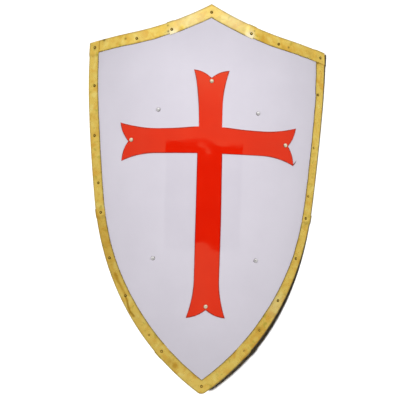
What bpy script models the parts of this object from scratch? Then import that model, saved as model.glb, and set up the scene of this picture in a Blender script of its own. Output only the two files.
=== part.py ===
"""Crusader shield of painted sheet steel with a riveted cross and folded brass edging, lying face up.

Sheet pieces are drawn on the flat, u across the shield, v along it and h out of the painted face, and are
then bent about the long axis. An empty holds every piece and lays the whole shield on the ground plane.
"""

import math

import bmesh
import bpy
import numpy as np
from mathutils import Matrix, Vector

# Plate, in metres and degrees
BEND_RADIUS = 0.470
PLATE_THICKNESS = 0.0012
HALF_WIDTH = 0.2708
CORNER_HEIGHT = 0.327
PEAK_SLOPE = 30.0
PEAK_HOLLOW_RADIUS = 0.480
SHOULDER_SLOPE = 8.5
SIDE_SPLAY = 1.6
UPPER_SIDE_RADIUS = 1.06
UPPER_SIDE_TURN = 6.45
MIDDLE_SIDE_RADIUS = 3.70
MIDDLE_SIDE_TURN = 3.4
LOWER_SIDE_RADIUS = 0.576
TIP_RADIUS = 0.012
REST_TILT = 3.7

# Fits between pieces
GAP = 0.0003
HOLE_CLEARANCE = 0.0003

# Brass edging. Its side strips vary in width down the shield, as (run from the corner, width)
EDGING_SHEET = 0.0008
EDGING_TOP_WIDTH = 0.0246
EDGING_SIDE_WIDTHS = ((0.0, 0.0238), (0.200, 0.0228), (0.440, 0.0204), (0.600, 0.0236), (0.700, 0.0243))
EDGING_BACK_WIDTH = 0.0200
PEAK_OVERHANG = 0.0060
SIDE_OVERHANG = 0.0093
LAP_UNDER = 0.0070
LAP_RAMP = 0.0060
LAP_LIFT = EDGING_SHEET + GAP

# Edging rivets, as (run of rim from the peak or, on a side, from the corner; distance in from the rim)
PEAK_RIVET_INSET = 0.0165
TIP_RIVET_INSET = 0.0140
CORNER_RIVET_RUN = 0.0107
CORNER_RIVET_INSET = 0.0128
TOP_LAP_RIVETS = {"left": (0.0963, 0.0160), "right": (0.0991, 0.0162)}
TOP_RIVETS = {"left": (0.1719, 0.0142), "right": (0.1620, 0.0150)}
SIDE_LAP_RIVETS = {"left": (0.3676, 0.0116), "right": (0.3681, 0.0119)}
TIP_LAP_RIVETS = {"left": (0.6928, 0.0105), "right": (0.6879, 0.0100)}
SIDE_RIVETS = {
    "left": (
        (0.094, 0.0145), (0.202, 0.0105), (0.304, 0.0120), (0.467, 0.0085), (0.554, 0.0110), (0.650, 0.0110),
    ),
    "right": (
        (0.094, 0.0145), (0.212, 0.0135), (0.319, 0.0128), (0.459, 0.0112), (0.559, 0.0118), (0.634, 0.0114),
    ),
}
EDGE_HEAD_RADIUS = 0.0024
EDGE_HEAD_HEIGHT = 0.0010
EDGE_SHANK_RADIUS = 0.0012
EDGE_TAIL_RADIUS = 0.0022
EDGE_TAIL_HEIGHT = 0.0008

# Cross
CROSS_SHEET = 0.0010
CROSS_OFFSET = 0.0040
CROSS_HEIGHT = 0.1160
CROSS_HALF_BAR = 0.0258
TOP_ARM_HALF_BAR = 0.0240
TOP_ARM_LENGTH = 0.1480
TOP_ARM_HALF_END = 0.0370
SIDE_ARM_LENGTH = 0.1885
SIDE_ARM_SKEW = 0.0025
SIDE_ARM_DROOP = 0.0020
SIDE_ARM_HALF_END = 0.0405
LOW_ARM_LENGTH = 0.3630
LOW_ARM_HALF_END = 0.0400
FLARE_LENGTH = 0.0800
NOTCH_DEPTH = 0.0165
NOTCH_FULLNESS = 0.0035
CROSS_RIVET_SETBACK = 0.0070

# Large rivets, washers and straps
DOME_RADIUS = 0.0045
DOME_HEIGHT = 0.0030
DOME_SHANK_RADIUS = 0.0020
DOME_TAIL_RADIUS = 0.0035
DOME_TAIL_HEIGHT = 0.0014
WASHER_RADIUS = 0.0080
WASHER_THICKNESS = 0.0010
STRAPS = {"grip": (0.1790, 0.1050), "arm": (-0.1280, 0.1070)}
STRAP_WIDTH = 0.0320
STRAP_THICKNESS = 0.0030
STRAP_TAB = 0.0160
STRAP_BOW = 0.0450
STRAP_HALF_FLAT = 0.0330
STRAP_EASE = 0.0330

# Fineness of the facets
BEND_STEP = 0.0209
LOW_SIDE_STEP = 0.0205
STRAIGHT_STEP = 0.0420
EDGE_RIVET_SIDES = 6
DOME_SIDES = 8

MATERIALS = {
    "white_paint": ((0.77, 0.76, 0.80), 0.22, 0.0),
    "red_paint": ((0.74, 0.05, 0.02), 0.22, 0.0),
    "brass": ((0.70, 0.50, 0.17), 0.35, 1.0),
    "rivet_steel": ((0.74, 0.68, 0.58), 0.35, 1.0),
    "leather": ((0.12, 0.06, 0.03), 0.65, 0.0),
}


class Rim:
    """A stretch of the rim: tangent arcs of (length, turn), with the shield on the right of the way."""

    def __init__(self, start, heading, arcs):
        self.start = Vector(start)
        self.heading = heading
        self.arcs = arcs
        self.length = sum(length for length, turn in arcs)

    def at(self, run):
        """Point and inward normal at a run. Before its start and past its end the rim goes on straight."""
        heading = self.heading
        before = min(run, 0.0)
        point = self.start + before * Vector((math.cos(heading), math.sin(heading)))
        left = run - before
        for length, turn in self.arcs:
            step = min(left, length)
            half_bend = turn * step / length / 2
            chord = step * (math.sin(half_bend) / half_bend if half_bend else 1.0)
            point += chord * Vector((math.cos(heading + half_bend), math.sin(heading + half_bend)))
            heading += 2 * half_bend
            left -= step
        point += left * Vector((math.cos(heading), math.sin(heading)))
        return point, Vector((math.sin(heading), -math.cos(heading)))


def make_top():
    """Right half of the top edge, from the peak to the corner: a hollow and then a straight shoulder."""
    peak, shoulder = math.radians(PEAK_SLOPE), math.radians(SHOULDER_SLOPE)
    hollow_width = PEAK_HOLLOW_RADIUS * (math.sin(peak) - math.sin(shoulder))
    hollow_drop = PEAK_HOLLOW_RADIUS * (math.cos(shoulder) - math.cos(peak))
    shoulder_width = HALF_WIDTH - hollow_width
    peak_height = CORNER_HEIGHT + hollow_drop + shoulder_width * math.tan(shoulder)
    hollow = (PEAK_HOLLOW_RADIUS * (peak - shoulder), peak - shoulder)
    return Rim((0.0, peak_height), -peak, [hollow, (shoulder_width / math.cos(shoulder), 0.0)])


def make_upper_side():
    """Right side from the corner down to where its last, tighter bend starts."""
    upper, middle = math.radians(UPPER_SIDE_TURN), math.radians(MIDDLE_SIDE_TURN)
    arcs = [(UPPER_SIDE_RADIUS * upper, -upper), (MIDDLE_SIDE_RADIUS * middle, -middle)]
    return Rim((HALF_WIDTH, CORNER_HEIGHT), math.radians(SIDE_SPLAY) - math.pi / 2, arcs)


TOP = make_top()
UPPER_SIDE = make_upper_side()
UPPER_SIDE_END = UPPER_SIDE.at(UPPER_SIDE.length)[0].x
UPPER_SIDE_LEAN = math.radians(UPPER_SIDE_TURN + MIDDLE_SIDE_TURN - SIDE_SPLAY)


def low_turn(inset):
    """Turn of the lower side up to where a line at this inset from it meets the shield's axis."""
    reach = (LOWER_SIDE_RADIUS * math.cos(UPPER_SIDE_LEAN) - UPPER_SIDE_END) / (LOWER_SIDE_RADIUS - inset)
    return math.acos(reach) - UPPER_SIDE_LEAN


def make_side():
    """Whole right side, from the corner to the middle of the rounded tip."""
    low = low_turn(TIP_RADIUS)
    tip = math.pi / 2 - UPPER_SIDE_LEAN - low
    arcs = UPPER_SIDE.arcs + [(LOWER_SIDE_RADIUS * low, -low), (TIP_RADIUS * tip, -tip)]
    return Rim(UPPER_SIDE.start, UPPER_SIDE.heading, arcs)


SIDE = make_side()


def tip_mitre_run(inset):
    """Run of the side from which a line at this inset reaches the shield's axis."""
    return UPPER_SIDE.length + LOWER_SIDE_RADIUS * low_turn(inset)


def peak_mitre_run(inset):
    """Run of the top edge from which a line at this inset reaches the shield's axis."""
    peak = math.radians(PEAK_SLOPE)
    mitre = math.asin(PEAK_HOLLOW_RADIUS * math.sin(peak) / (PEAK_HOLLOW_RADIUS + inset))
    return PEAK_HOLLOW_RADIUS * (peak - mitre)


def corner_overrun(inset):
    """How far a line at this inset runs on past the corner before it meets the other rim."""
    return inset * math.tan(math.radians(SHOULDER_SLOPE + SIDE_SPLAY))


def corner_crossing(inset):
    """Run from the corner at which a rim meets a line set in from the other rim."""
    return inset / math.cos(math.radians(SHOULDER_SLOPE + SIDE_SPLAY))


def side_width(run):
    """Width of the front flange at a run of the side."""
    runs, widths = zip(*EDGING_SIDE_WIDTHS)
    return float(np.interp(run, runs, widths))


def top_width(run):
    """Width of the front flange at a run of the top edge."""
    return EDGING_TOP_WIDTH


def place(u, v, h=0.0):
    """Bent position of a flat one."""
    angle = u / BEND_RADIUS
    radius = BEND_RADIUS + h
    return Vector((radius * math.sin(angle), v, radius * math.cos(angle) - BEND_RADIUS))


def seat(u, v, h=0.0):
    """Matrix of a round piece that stands on the bent face, its Z along the face's normal."""
    return Matrix.Translation(place(u, v, h)) @ Matrix.Rotation(u / BEND_RADIUS, 4, "Y")


def spaced(start, end, step):
    """Values from start to end, both included, no further apart than the step."""
    count = max(1, math.ceil(abs(end - start) / step - 1e-6))
    return [start + (end - start) * k / count for k in range(count + 1)]


def side_runs(start, end):
    """Runs down a side: long steps where it is nearly straight, short ones where it bends, finest at the tip."""
    tip_start = SIDE.length - SIDE.arcs[-1][0]
    bounds = [start] + [run for run in (UPPER_SIDE.length, tip_start) if start < run < end] + [end]
    runs = [start]
    for low, high in zip(bounds, bounds[1:]):
        middle = (low + high) / 2
        step = STRAIGHT_STEP if middle < UPPER_SIDE.length else LOW_SIDE_STEP
        if middle > tip_start:
            step = TIP_RADIUS / 3
        runs += spaced(low, high, step)[1:]
    return runs


def top_runs(start, end):
    """Runs along the top edge, in the small steps that its bend needs."""
    return spaced(start, end, BEND_STEP)


# Objects, meshes and cuts


def make_material(name):
    colour, roughness, metallic = MATERIALS[name]
    material = bpy.data.materials.new(name)
    material.use_nodes = True
    shader = material.node_tree.nodes["Principled BSDF"]
    shader.inputs["Base Color"].default_value = (*colour, 1.0)
    shader.inputs["Roughness"].default_value = roughness
    shader.inputs["Metallic"].default_value = metallic
    return material


def add_piece(name, mesh, finish, matrix=None):
    """Puts a mesh in the shield as a piece of its own."""
    piece = bpy.data.objects.new(name, mesh)
    bpy.data.collections["crusader_shield"].objects.link(piece)
    piece.parent = bpy.data.objects["shield_frame"]
    if matrix is not None:
        piece.matrix_local = matrix
    if not mesh.materials:
        mesh.materials.append(make_material(finish))
    return piece


def mesh_from(name, bm):
    mesh = bpy.data.meshes.new(name)
    bm.to_mesh(mesh)
    bm.free()
    return mesh


def thicken(piece, thickness, offset):
    """Gives a surface its thickness: offset 1 grows along its normals, and -1 against them."""
    solidify = piece.modifiers.new("thickness", "SOLIDIFY")
    solidify.thickness = thickness
    solidify.offset = offset
    solidify.use_even_offset = True


def pierce(piece, seats, shank_radius, sides):
    """Cuts a round hole through a sheet at each seat, wider than the shank by its clearance."""
    radius = (shank_radius + HOLE_CLEARANCE) / math.cos(math.pi / sides)
    bm = bmesh.new()
    for matrix in seats:
        bmesh.ops.create_cone(
            bm,
            cap_ends=True,
            segments=sides,
            radius1=radius,
            radius2=radius,
            depth=DOME_RADIUS * 4,
            matrix=matrix,
        )
    cutter = bpy.data.objects.new(f"{piece.name}_holes_{sides}", mesh_from(piece.name + "_holes", bm))
    bpy.data.collections["cutters"].objects.link(cutter)
    cutter.parent = bpy.data.objects["shield_frame"]
    cutter.hide_render = True
    cutter.display_type = "WIRE"
    cut = piece.modifiers.new(f"holes_{sides}", "BOOLEAN")
    cut.operation = "DIFFERENCE"
    cut.object = cutter


def grid_surface(name, rows):
    """A surface through rows of points, its normals up where the columns lie to the left of the rows' way."""
    row_count, column_count = len(rows), len(rows[0])
    bm = bmesh.new()
    bmesh.ops.create_grid(bm, x_segments=row_count - 1, y_segments=column_count - 1, size=1.0)
    for vert in bm.verts:
        row = round((vert.co.x + 1.0) / 2 * (row_count - 1))
        column = round((vert.co.y + 1.0) / 2 * (column_count - 1))
        vert.co = rows[row][column]
    return mesh_from(name, bm)


def bent_sheet(name, outline, h):
    """A bent surface from a flat outline, cut into narrow strips so that it bends in small steps."""
    bm = bmesh.new()
    bm.faces.new([bm.verts.new((u, v, 0.0)) for u, v in outline])
    bm.normal_update()
    bmesh.ops.reverse_faces(bm, faces=[face for face in bm.faces if face.normal.z < 0])
    widest = max(abs(u) for u, v in outline)
    lines = [line for line in spaced(0.0, HALF_WIDTH, BEND_STEP) if line < widest - GAP]
    for line in [-line for line in lines[:0:-1]] + lines:
        bmesh.ops.bisect_plane(
            bm,
            geom=bm.verts[:] + bm.edges[:] + bm.faces[:],
            plane_co=(line, 0.0, 0.0),
            plane_no=(1.0, 0.0, 0.0),
            dist=1e-6,
        )
    for vert in bm.verts:
        vert.co = place(vert.co.x, vert.co.y, h)
    return mesh_from(name, bm)


def turned(name, profile, sides):
    """Mesh of a turned piece: a profile from top to bottom, spun about Z."""
    mesh = bpy.data.meshes.new(name)
    edges = [(k, k + 1) for k in range(len(profile) - 1)]
    mesh.from_pydata([(radius, 0.0, height) for radius, height in profile], edges, [])
    spun = bpy.data.objects.new(name + "_spun", mesh)
    screw = spun.modifiers.new("turn", "SCREW")
    screw.steps = screw.render_steps = sides
    screw.use_merge_vertices = True
    screw.merge_threshold = 0.00001
    screw.use_smooth_shade = True
    bpy.context.scene.collection.objects.link(spun)
    graph = bpy.context.evaluated_depsgraph_get()
    turned_mesh = bpy.data.meshes.new_from_object(spun.evaluated_get(graph))
    bpy.data.objects.remove(spun)
    turned_mesh.name = name
    turned_mesh.set_sharp_from_angle(angle=math.radians(40))
    return turned_mesh


# Plate and cross


def rim_outline():
    """Closed flat outline of the plate, clockwise from the peak."""
    right = [TOP.at(run)[0] for run in top_runs(0.0, TOP.length)]
    right += [SIDE.at(run)[0] for run in side_runs(0.0, SIDE.length)[1:]]
    return right + [Vector((-point.x, point.y)) for point in right[-2:0:-1]]


def arm_edge(half_bar, half_end, length, start):
    """One long edge of an arm as (distance out, half-width): straight, then flared to the end."""
    flare_start = length - FLARE_LENGTH
    edge = [(start, half_bar)]
    for along in spaced(flare_start, length, FLARE_LENGTH / 4):
        share = (along - flare_start) / FLARE_LENGTH
        edge.append((along, half_bar + (half_end - half_bar) * share**2))
    return edge


def arm_end(half_end, length):
    """End of an arm from one tip through the notch to the other, each lobe a little full."""
    tip, notch = Vector((length, half_end)), Vector((length - NOTCH_DEPTH, 0.0))
    across = (tip - notch).orthogonal().normalized()
    bulge = NOTCH_FULLNESS * 4 * (-across if across.x < 0 else across)
    lobe = [tip.lerp(notch, share) + bulge * share * (1 - share) for share in (0.25, 0.5, 0.75)]
    return lobe + [notch] + [Vector((point.x, -point.y)) for point in reversed(lobe)]


def arm(half_bar, half_end, length, start, turn, skew=0.0, droop=0.0):
    """Outline of one arm of the cross, clockwise, turned to point its way from the cross's middle."""
    edge = [Vector(point) for point in arm_edge(half_bar, half_end, length, start)]
    points = edge + arm_end(half_end, length) + [Vector((point.x, -point.y)) for point in reversed(edge)]
    for point in points:
        share = max(0.0, (point.x - length + FLARE_LENGTH) / FLARE_LENGTH) ** 2
        point.x += skew * share * point.y / half_end
        point.y -= droop * share
    return [Matrix.Rotation(turn, 2) @ point for point in points]


def cross_outline():
    """Closed flat outline of the cross."""
    up, right, down, left = math.pi / 2, 0.0, -math.pi / 2, math.pi
    side = (CROSS_HALF_BAR, SIDE_ARM_HALF_END, SIDE_ARM_LENGTH, CROSS_HALF_BAR)
    points = arm(TOP_ARM_HALF_BAR, TOP_ARM_HALF_END, TOP_ARM_LENGTH, CROSS_HALF_BAR, up)
    points += arm(*side, right, SIDE_ARM_SKEW, SIDE_ARM_DROOP)[1:]
    points += arm(CROSS_HALF_BAR, LOW_ARM_HALF_END, LOW_ARM_LENGTH, CROSS_HALF_BAR, down)[1:]
    points += arm(*side, left, -SIDE_ARM_SKEW, -SIDE_ARM_DROOP)[1:-1]
    return [point + Vector((CROSS_OFFSET, CROSS_HEIGHT)) for point in points]


def cross_rivet_spots():
    """Flat position of the rivet behind each notch."""
    back = NOTCH_DEPTH + CROSS_RIVET_SETBACK
    return {
        "top": (CROSS_OFFSET, CROSS_HEIGHT + TOP_ARM_LENGTH - back),
        "right": (CROSS_OFFSET + SIDE_ARM_LENGTH - back, CROSS_HEIGHT),
        "bottom": (CROSS_OFFSET, CROSS_HEIGHT - LOW_ARM_LENGTH + back),
        "left": (CROSS_OFFSET - SIDE_ARM_LENGTH + back, CROSS_HEIGHT),
    }


# Edging


class Station:
    """One cross-section of the edging: rim point, flange edge, outward vector and lift over what lies below."""

    def __init__(self, rim, edge, outward, lift):
        self.rim = rim
        self.edge = edge
        self.outward = outward
        self.lift = lift

    def mirrored(self):
        flip = Vector((-1.0, 1.0))
        return Station(self.rim * flip, self.edge * flip, self.outward * flip, self.lift)

    def section(self):
        """Outer side of the folded brass, from the front flange's edge round the rim to the back."""
        off = GAP + self.lift + EDGING_SHEET
        under = -PLATE_THICKNESS
        bend = off * math.tan(math.pi / 8)
        back = self.rim.lerp(self.edge, EDGING_BACK_WIDTH / (self.edge - self.rim).length)
        rim, side = self.rim + self.outward * bend, self.rim + self.outward * off
        shape = [(self.edge, off), (rim, off), (side, bend)]
        shape += [(side, under - bend), (rim, under - off), (back, under - off)]
        return [place(point.x, point.y, h) for point, h in shape]


def top_lap(hand):
    """Runs of the top edge where the peak piece lies over the shoulder one."""
    rivet_run = TOP_LAP_RIVETS[hand][0]
    return rivet_run - LAP_UNDER, rivet_run + PEAK_OVERHANG


def side_lap(rivets, hand):
    """Runs of the side where the lower of two pieces lies over the upper one."""
    rivet_run = rivets[hand][0]
    return rivet_run - SIDE_OVERHANG, rivet_run + LAP_UNDER


def strip_runs(runs, laps):
    """The runs without those in or near a lap, which has stations at its own ends and those of its ramps."""
    marks = [mark for start, end in laps for mark in (start - LAP_RAMP, start, end, end + LAP_RAMP)]
    marks = [mark for mark in marks if runs[0] + GAP < mark < runs[-1] - GAP]
    room = LAP_RAMP * 1.3
    clear = [run for run in runs[1:-1] if all(max(start - run, run - end) > room for start, end in laps)]
    return sorted([runs[0], runs[-1]] + clear + marks)


def strip_stations(rim, runs, inner_ends, width_at, over=(), under=()):
    """Stations at the runs of a rim, lifted in the laps where the strip lies over another and eased down beside
    them. The flange's edge is set off from the rim at the inner runs. They are the stations' own runs in the
    laps, and stretch or shrink from there to the inner ends."""
    laps = [*over, *under]
    runs = strip_runs(runs, laps)
    marks = [mark for start, end in laps for mark in (start, end)]
    knees = [runs[0], *sorted(mark for mark in marks if mark in runs[1:-1]), runs[-1]]
    inner_knees = [inner_ends[0], *knees[1:-1], inner_ends[1]]
    made = []
    for run in runs:
        inner_run = float(np.interp(run, knees, inner_knees))
        point, inward = rim.at(run)
        base, base_inward = rim.at(inner_run)
        outward = -inward
        if rim is TOP and run == 0.0:
            outward = Vector((0.0, 1.0 / math.cos(math.radians(PEAK_SLOPE))))
        outside = [max(start - run, run - end, 0.0) for start, end in over]
        lift = LAP_LIFT * max([0.0] + [1.0 - distance / LAP_RAMP for distance in outside])
        made.append(Station(point, base + width_at(inner_run) * base_inward, outward, lift))
    return made


def top_strip(hand, covers_corner):
    """Shoulder strip from under the peak piece out to the corner."""
    start, end = top_lap(hand)[0], TOP.length
    inner_ends = (start, end + corner_overrun(EDGING_TOP_WIDTH))
    over = [(end - corner_crossing(side_width(0.0)) - GAP, end)] if covers_corner else []
    return strip_stations(TOP, top_runs(start, end), inner_ends, top_width, over, [top_lap(hand)])


def upper_strip(hand, covers_corner):
    """Side strip from the corner to under the lower one."""
    lap = side_lap(SIDE_LAP_RIVETS, hand)
    inner_ends = (-corner_overrun(side_width(0.0)), lap[1])
    over = [(0.0, corner_crossing(EDGING_TOP_WIDTH) + GAP)] if covers_corner else []
    return strip_stations(SIDE, side_runs(0.0, lap[1]), inner_ends, side_width, over, [lap])


def lower_strip(hand):
    """Side strip from its lap over the upper one to under the tip piece."""
    over, under = side_lap(SIDE_LAP_RIVETS, hand), side_lap(TIP_LAP_RIVETS, hand)
    ends = (over[0], under[1])
    return strip_stations(SIDE, side_runs(*ends), ends, side_width, [over], [under])


def peak_half(hand):
    """Half of the piece over the peak, from its mitre to its lap."""
    lap = top_lap(hand)
    inner_ends = (peak_mitre_run(EDGING_TOP_WIDTH), lap[1])
    return strip_stations(TOP, top_runs(0.0, lap[1]), inner_ends, top_width, [lap])


def tip_half(hand):
    """Half of the piece round the tip, from its lap to its mitre."""
    lap = side_lap(TIP_LAP_RIVETS, hand)
    inner_ends = (lap[0], tip_mitre_run(side_width(SIDE.length)))
    return strip_stations(SIDE, side_runs(lap[0], SIDE.length), inner_ends, side_width, [lap])


def mirrored(strip):
    """The same strip on the left of the shield, still taken clockwise."""
    return [station.mirrored() for station in reversed(strip)]


def edging_strips():
    """Stations of each edging piece, clockwise. Left, the side strip covers the corner, and right, the top one."""
    return {
        "edging_peak": mirrored(peak_half("left"))[:-1] + peak_half("right"),
        "edging_top_right": top_strip("right", True),
        "edging_upper_right": upper_strip("right", False),
        "edging_lower_right": lower_strip("right"),
        "edging_tip": tip_half("right")[:-1] + mirrored(tip_half("left")),
        "edging_lower_left": mirrored(lower_strip("left")),
        "edging_upper_left": mirrored(upper_strip("left", True)),
        "edging_top_left": mirrored(top_strip("left", False)),
    }


def rivet_spot(rim, run, inset, hand):
    point, inward = rim.at(run)
    spot = point + inset * inward
    return (-spot.x, spot.y) if hand == "left" else (spot.x, spot.y)


def edge_rivets():
    """Each edging rivet as name: (flat position, edging pieces it goes through)."""
    peak = TOP.at(0.0)[0].y - PEAK_RIVET_INSET
    tip = SIDE.at(SIDE.length)[0].y + TIP_RIVET_INSET
    rivets = {"rivet_peak": ((0.0, peak), ["edging_peak"]), "rivet_tip": ((0.0, tip), ["edging_tip"])}
    for hand in ("left", "right"):
        top, upper, lower = f"edging_top_{hand}", f"edging_upper_{hand}", f"edging_lower_{hand}"
        corner_spot = rivet_spot(SIDE, CORNER_RIVET_RUN, CORNER_RIVET_INSET, hand)
        rivets[f"rivet_corner_{hand}"] = (corner_spot, [top, upper])
        rivets[f"rivet_top_lap_{hand}"] = (rivet_spot(TOP, *TOP_LAP_RIVETS[hand], hand), [top, "edging_peak"])
        rivets[f"rivet_top_{hand}"] = (rivet_spot(TOP, *TOP_RIVETS[hand], hand), [top])
        rivets[f"rivet_side_lap_{hand}"] = (rivet_spot(SIDE, *SIDE_LAP_RIVETS[hand], hand), [upper, lower])
        rivets[f"rivet_tip_lap_{hand}"] = (rivet_spot(SIDE, *TIP_LAP_RIVETS[hand], hand), [lower, "edging_tip"])
        for number, (run, inset) in enumerate(SIDE_RIVETS[hand], 1):
            piece = upper if run < SIDE_LAP_RIVETS[hand][0] else lower
            rivets[f"rivet_side_{hand}_{number}"] = (rivet_spot(SIDE, run, inset, hand), [piece])
    return rivets


def edge_rivet_mesh(layers):
    """Small brass rivet through this many layers of edging on each face of the plate."""
    top = GAP + EDGING_SHEET + LAP_LIFT * (layers - 1) + GAP
    bottom = -PLATE_THICKNESS - top
    profile = [
        (0.0, top + EDGE_HEAD_HEIGHT),
        (EDGE_HEAD_RADIUS * 0.6, top + EDGE_HEAD_HEIGHT * 0.8),
        (EDGE_HEAD_RADIUS, top),
        (EDGE_SHANK_RADIUS, top),
        (EDGE_SHANK_RADIUS, bottom),
        (EDGE_TAIL_RADIUS, bottom),
        (0.0, bottom - EDGE_TAIL_HEIGHT),
    ]
    return turned(f"edge_rivet_{layers}", profile, EDGE_RIVET_SIDES)


# Large rivets and straps


def dome_rivet_mesh(name, top, bottom):
    """Dome-headed rivet whose head sits at the top height and whose tail is formed under the bottom one."""
    dome = [(math.sin(angle), math.cos(angle)) for angle in (0.0, math.pi / 5, math.pi / 2.7, math.pi / 2)]
    profile = [(DOME_RADIUS * across, top + DOME_HEIGHT * up) for across, up in dome]
    profile += [
        (DOME_SHANK_RADIUS, top),
        (DOME_SHANK_RADIUS, bottom),
        (DOME_TAIL_RADIUS, bottom),
        (DOME_TAIL_RADIUS * 0.7, bottom - DOME_TAIL_HEIGHT),
        (0.0, bottom - DOME_TAIL_HEIGHT),
    ]
    return turned(name, profile, DOME_SIDES)


def washer_mesh():
    """Flat ring round a rivet's shank."""
    hole = DOME_SHANK_RADIUS + HOLE_CLEARANCE
    half = WASHER_THICKNESS / 2
    profile = [(hole, half), (WASHER_RADIUS, half), (WASHER_RADIUS, -half), (hole, -half), (hole, half)]
    return turned("washer", profile, DOME_SIDES)


def strap_path(rivet_reach):
    """Upper face of a strap across the back, as (x, z) from left to right: tab, bow, flat, bow and tab."""
    under = -PLATE_THICKNESS - GAP
    tab = [place(u, 0.0, under) for u in spaced(rivet_reach + STRAP_TAB, rivet_reach - STRAP_TAB, STRAP_TAB)]
    lean = (rivet_reach - STRAP_TAB) / BEND_RADIUS
    start = Vector((tab[-1].x, tab[-1].z))
    end = Vector((STRAP_HALF_FLAT, -PLATE_THICKNESS - STRAP_BOW))
    leave = start + STRAP_EASE * Vector((-math.cos(lean), math.sin(lean)))
    arrive = end + Vector((STRAP_EASE, 0.0))
    right = [(point.x, point.z) for point in tab]
    for k in range(1, 7):
        t = k / 6
        point = start * (1 - t) ** 3 + leave * 3 * t * (1 - t) ** 2 + arrive * 3 * t**2 * (1 - t) + end * t**3
        right.append((point.x, point.y))
    return [(-x, z) for x, z in right] + right[::-1]


def add_strap(name, height, rivet_reach):
    """Leather strap that bows away from the plate's hollow side between its two rivets."""
    low, high = height - STRAP_WIDTH / 2, height + STRAP_WIDTH / 2
    rows = [[Vector((x, low, z)), Vector((x, high, z))] for x, z in strap_path(rivet_reach)]
    strap = add_piece(name, grid_surface(name, rows), "leather")
    thicken(strap, STRAP_THICKNESS, -1.0)
    pierce(strap, [seat(reach, height) for reach in (-rivet_reach, rivet_reach)], DOME_SHANK_RADIUS, DOME_SIDES)


# Assembly


def clear_scene():
    for old in list(bpy.data.objects):
        bpy.data.objects.remove(old)


def make_collections():
    for name in ("crusader_shield", "cutters"):
        collection = bpy.data.collections.new(name)
        bpy.context.scene.collection.children.link(collection)
    bpy.data.collections["cutters"].hide_render = True
    frame = bpy.data.objects.new("shield_frame", None)
    bpy.data.collections["crusader_shield"].objects.link(frame)


def lay_down():
    """Tilts the shield onto the part of its rim that it rests on, and sets it centred on the ground plane."""
    frame = bpy.data.objects["shield_frame"]
    frame.rotation_euler.x = math.radians(REST_TILT)
    bpy.context.view_layer.update()
    graph = bpy.context.evaluated_depsgraph_get()
    points = []
    for piece in bpy.data.collections["crusader_shield"].objects:
        if piece.type == "MESH":
            solid = piece.evaluated_get(graph)
            points += [solid.matrix_world @ vert.co for vert in solid.data.vertices]
    points = np.array(points)
    low, high = points.min(axis=0), points.max(axis=0)
    frame.location = (-(low[0] + high[0]) / 2, -(low[1] + high[1]) / 2, -low[2])


def build():
    clear_scene()
    make_collections()

    plate = add_piece("shield_plate", bent_sheet("shield_plate", rim_outline(), 0.0), "white_paint")
    thicken(plate, PLATE_THICKNESS, -1.0)
    cross = add_piece("cross", bent_sheet("cross", cross_outline(), GAP), "red_paint")
    thicken(cross, CROSS_SHEET, 1.0)

    edging = {}
    for name, strip in edging_strips().items():
        edging[name] = add_piece(name, grid_surface(name, [s.section() for s in strip]), "brass")
        thicken(edging[name], EDGING_SHEET, -1.0)

    rivets = edge_rivets()
    meshes = {1: edge_rivet_mesh(1), 2: edge_rivet_mesh(2)}
    for name, (spot, through) in rivets.items():
        add_piece(name, meshes[len(through)], "brass", seat(*spot))
    for name, piece in edging.items():
        seats = [seat(*spot) for spot, through in rivets.values() if name in through]
        pierce(piece, seats, EDGE_SHANK_RADIUS, EDGE_RIVET_SIDES)
    pierce(plate, [seat(*spot) for spot, through in rivets.values()], EDGE_SHANK_RADIUS, EDGE_RIVET_SIDES)

    cross_top = GAP + CROSS_SHEET + GAP
    cross_rivet = dome_rivet_mesh("cross_rivet", cross_top, -PLATE_THICKNESS - GAP)
    for place_name, spot in cross_rivet_spots().items():
        add_piece("cross_rivet_" + place_name, cross_rivet, "rivet_steel", seat(*spot))
    cross_seats = [seat(*spot) for spot in cross_rivet_spots().values()]
    pierce(cross, cross_seats, DOME_SHANK_RADIUS, DOME_SIDES)

    washer_top = -PLATE_THICKNESS - GAP - STRAP_THICKNESS - GAP
    strap_rivet = dome_rivet_mesh("strap_rivet", GAP, washer_top - WASHER_THICKNESS - GAP)
    washer = washer_mesh()
    strap_seats = []
    for strap_name, (height, reach) in STRAPS.items():
        add_strap(f"strap_{strap_name}", height, reach)
        for hand, u in (("left", -reach), ("right", reach)):
            add_piece(f"strap_rivet_{strap_name}_{hand}", strap_rivet, "rivet_steel", seat(u, height))
            ring = seat(u, height, washer_top - WASHER_THICKNESS / 2)
            add_piece(f"washer_{strap_name}_{hand}", washer, "rivet_steel", ring)
            strap_seats.append(seat(u, height))
    pierce(plate, cross_seats + strap_seats, DOME_SHANK_RADIUS, DOME_SIDES)

    lay_down()


build()
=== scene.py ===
"""Looks of the crusader shield: enamelled steel, sheet brass, rivets, leather, floor, lights and camera.

Pieces are drawn in the shield's own coordinates: u across the flat sheet, v along it and h out of the painted
face. place() bends them about the shield's long axis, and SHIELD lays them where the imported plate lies.
"""

import math
from collections import namedtuple
from functools import partial

import bmesh
import bpy
import numpy as np
from mathutils import Matrix, Vector, noise


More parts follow.
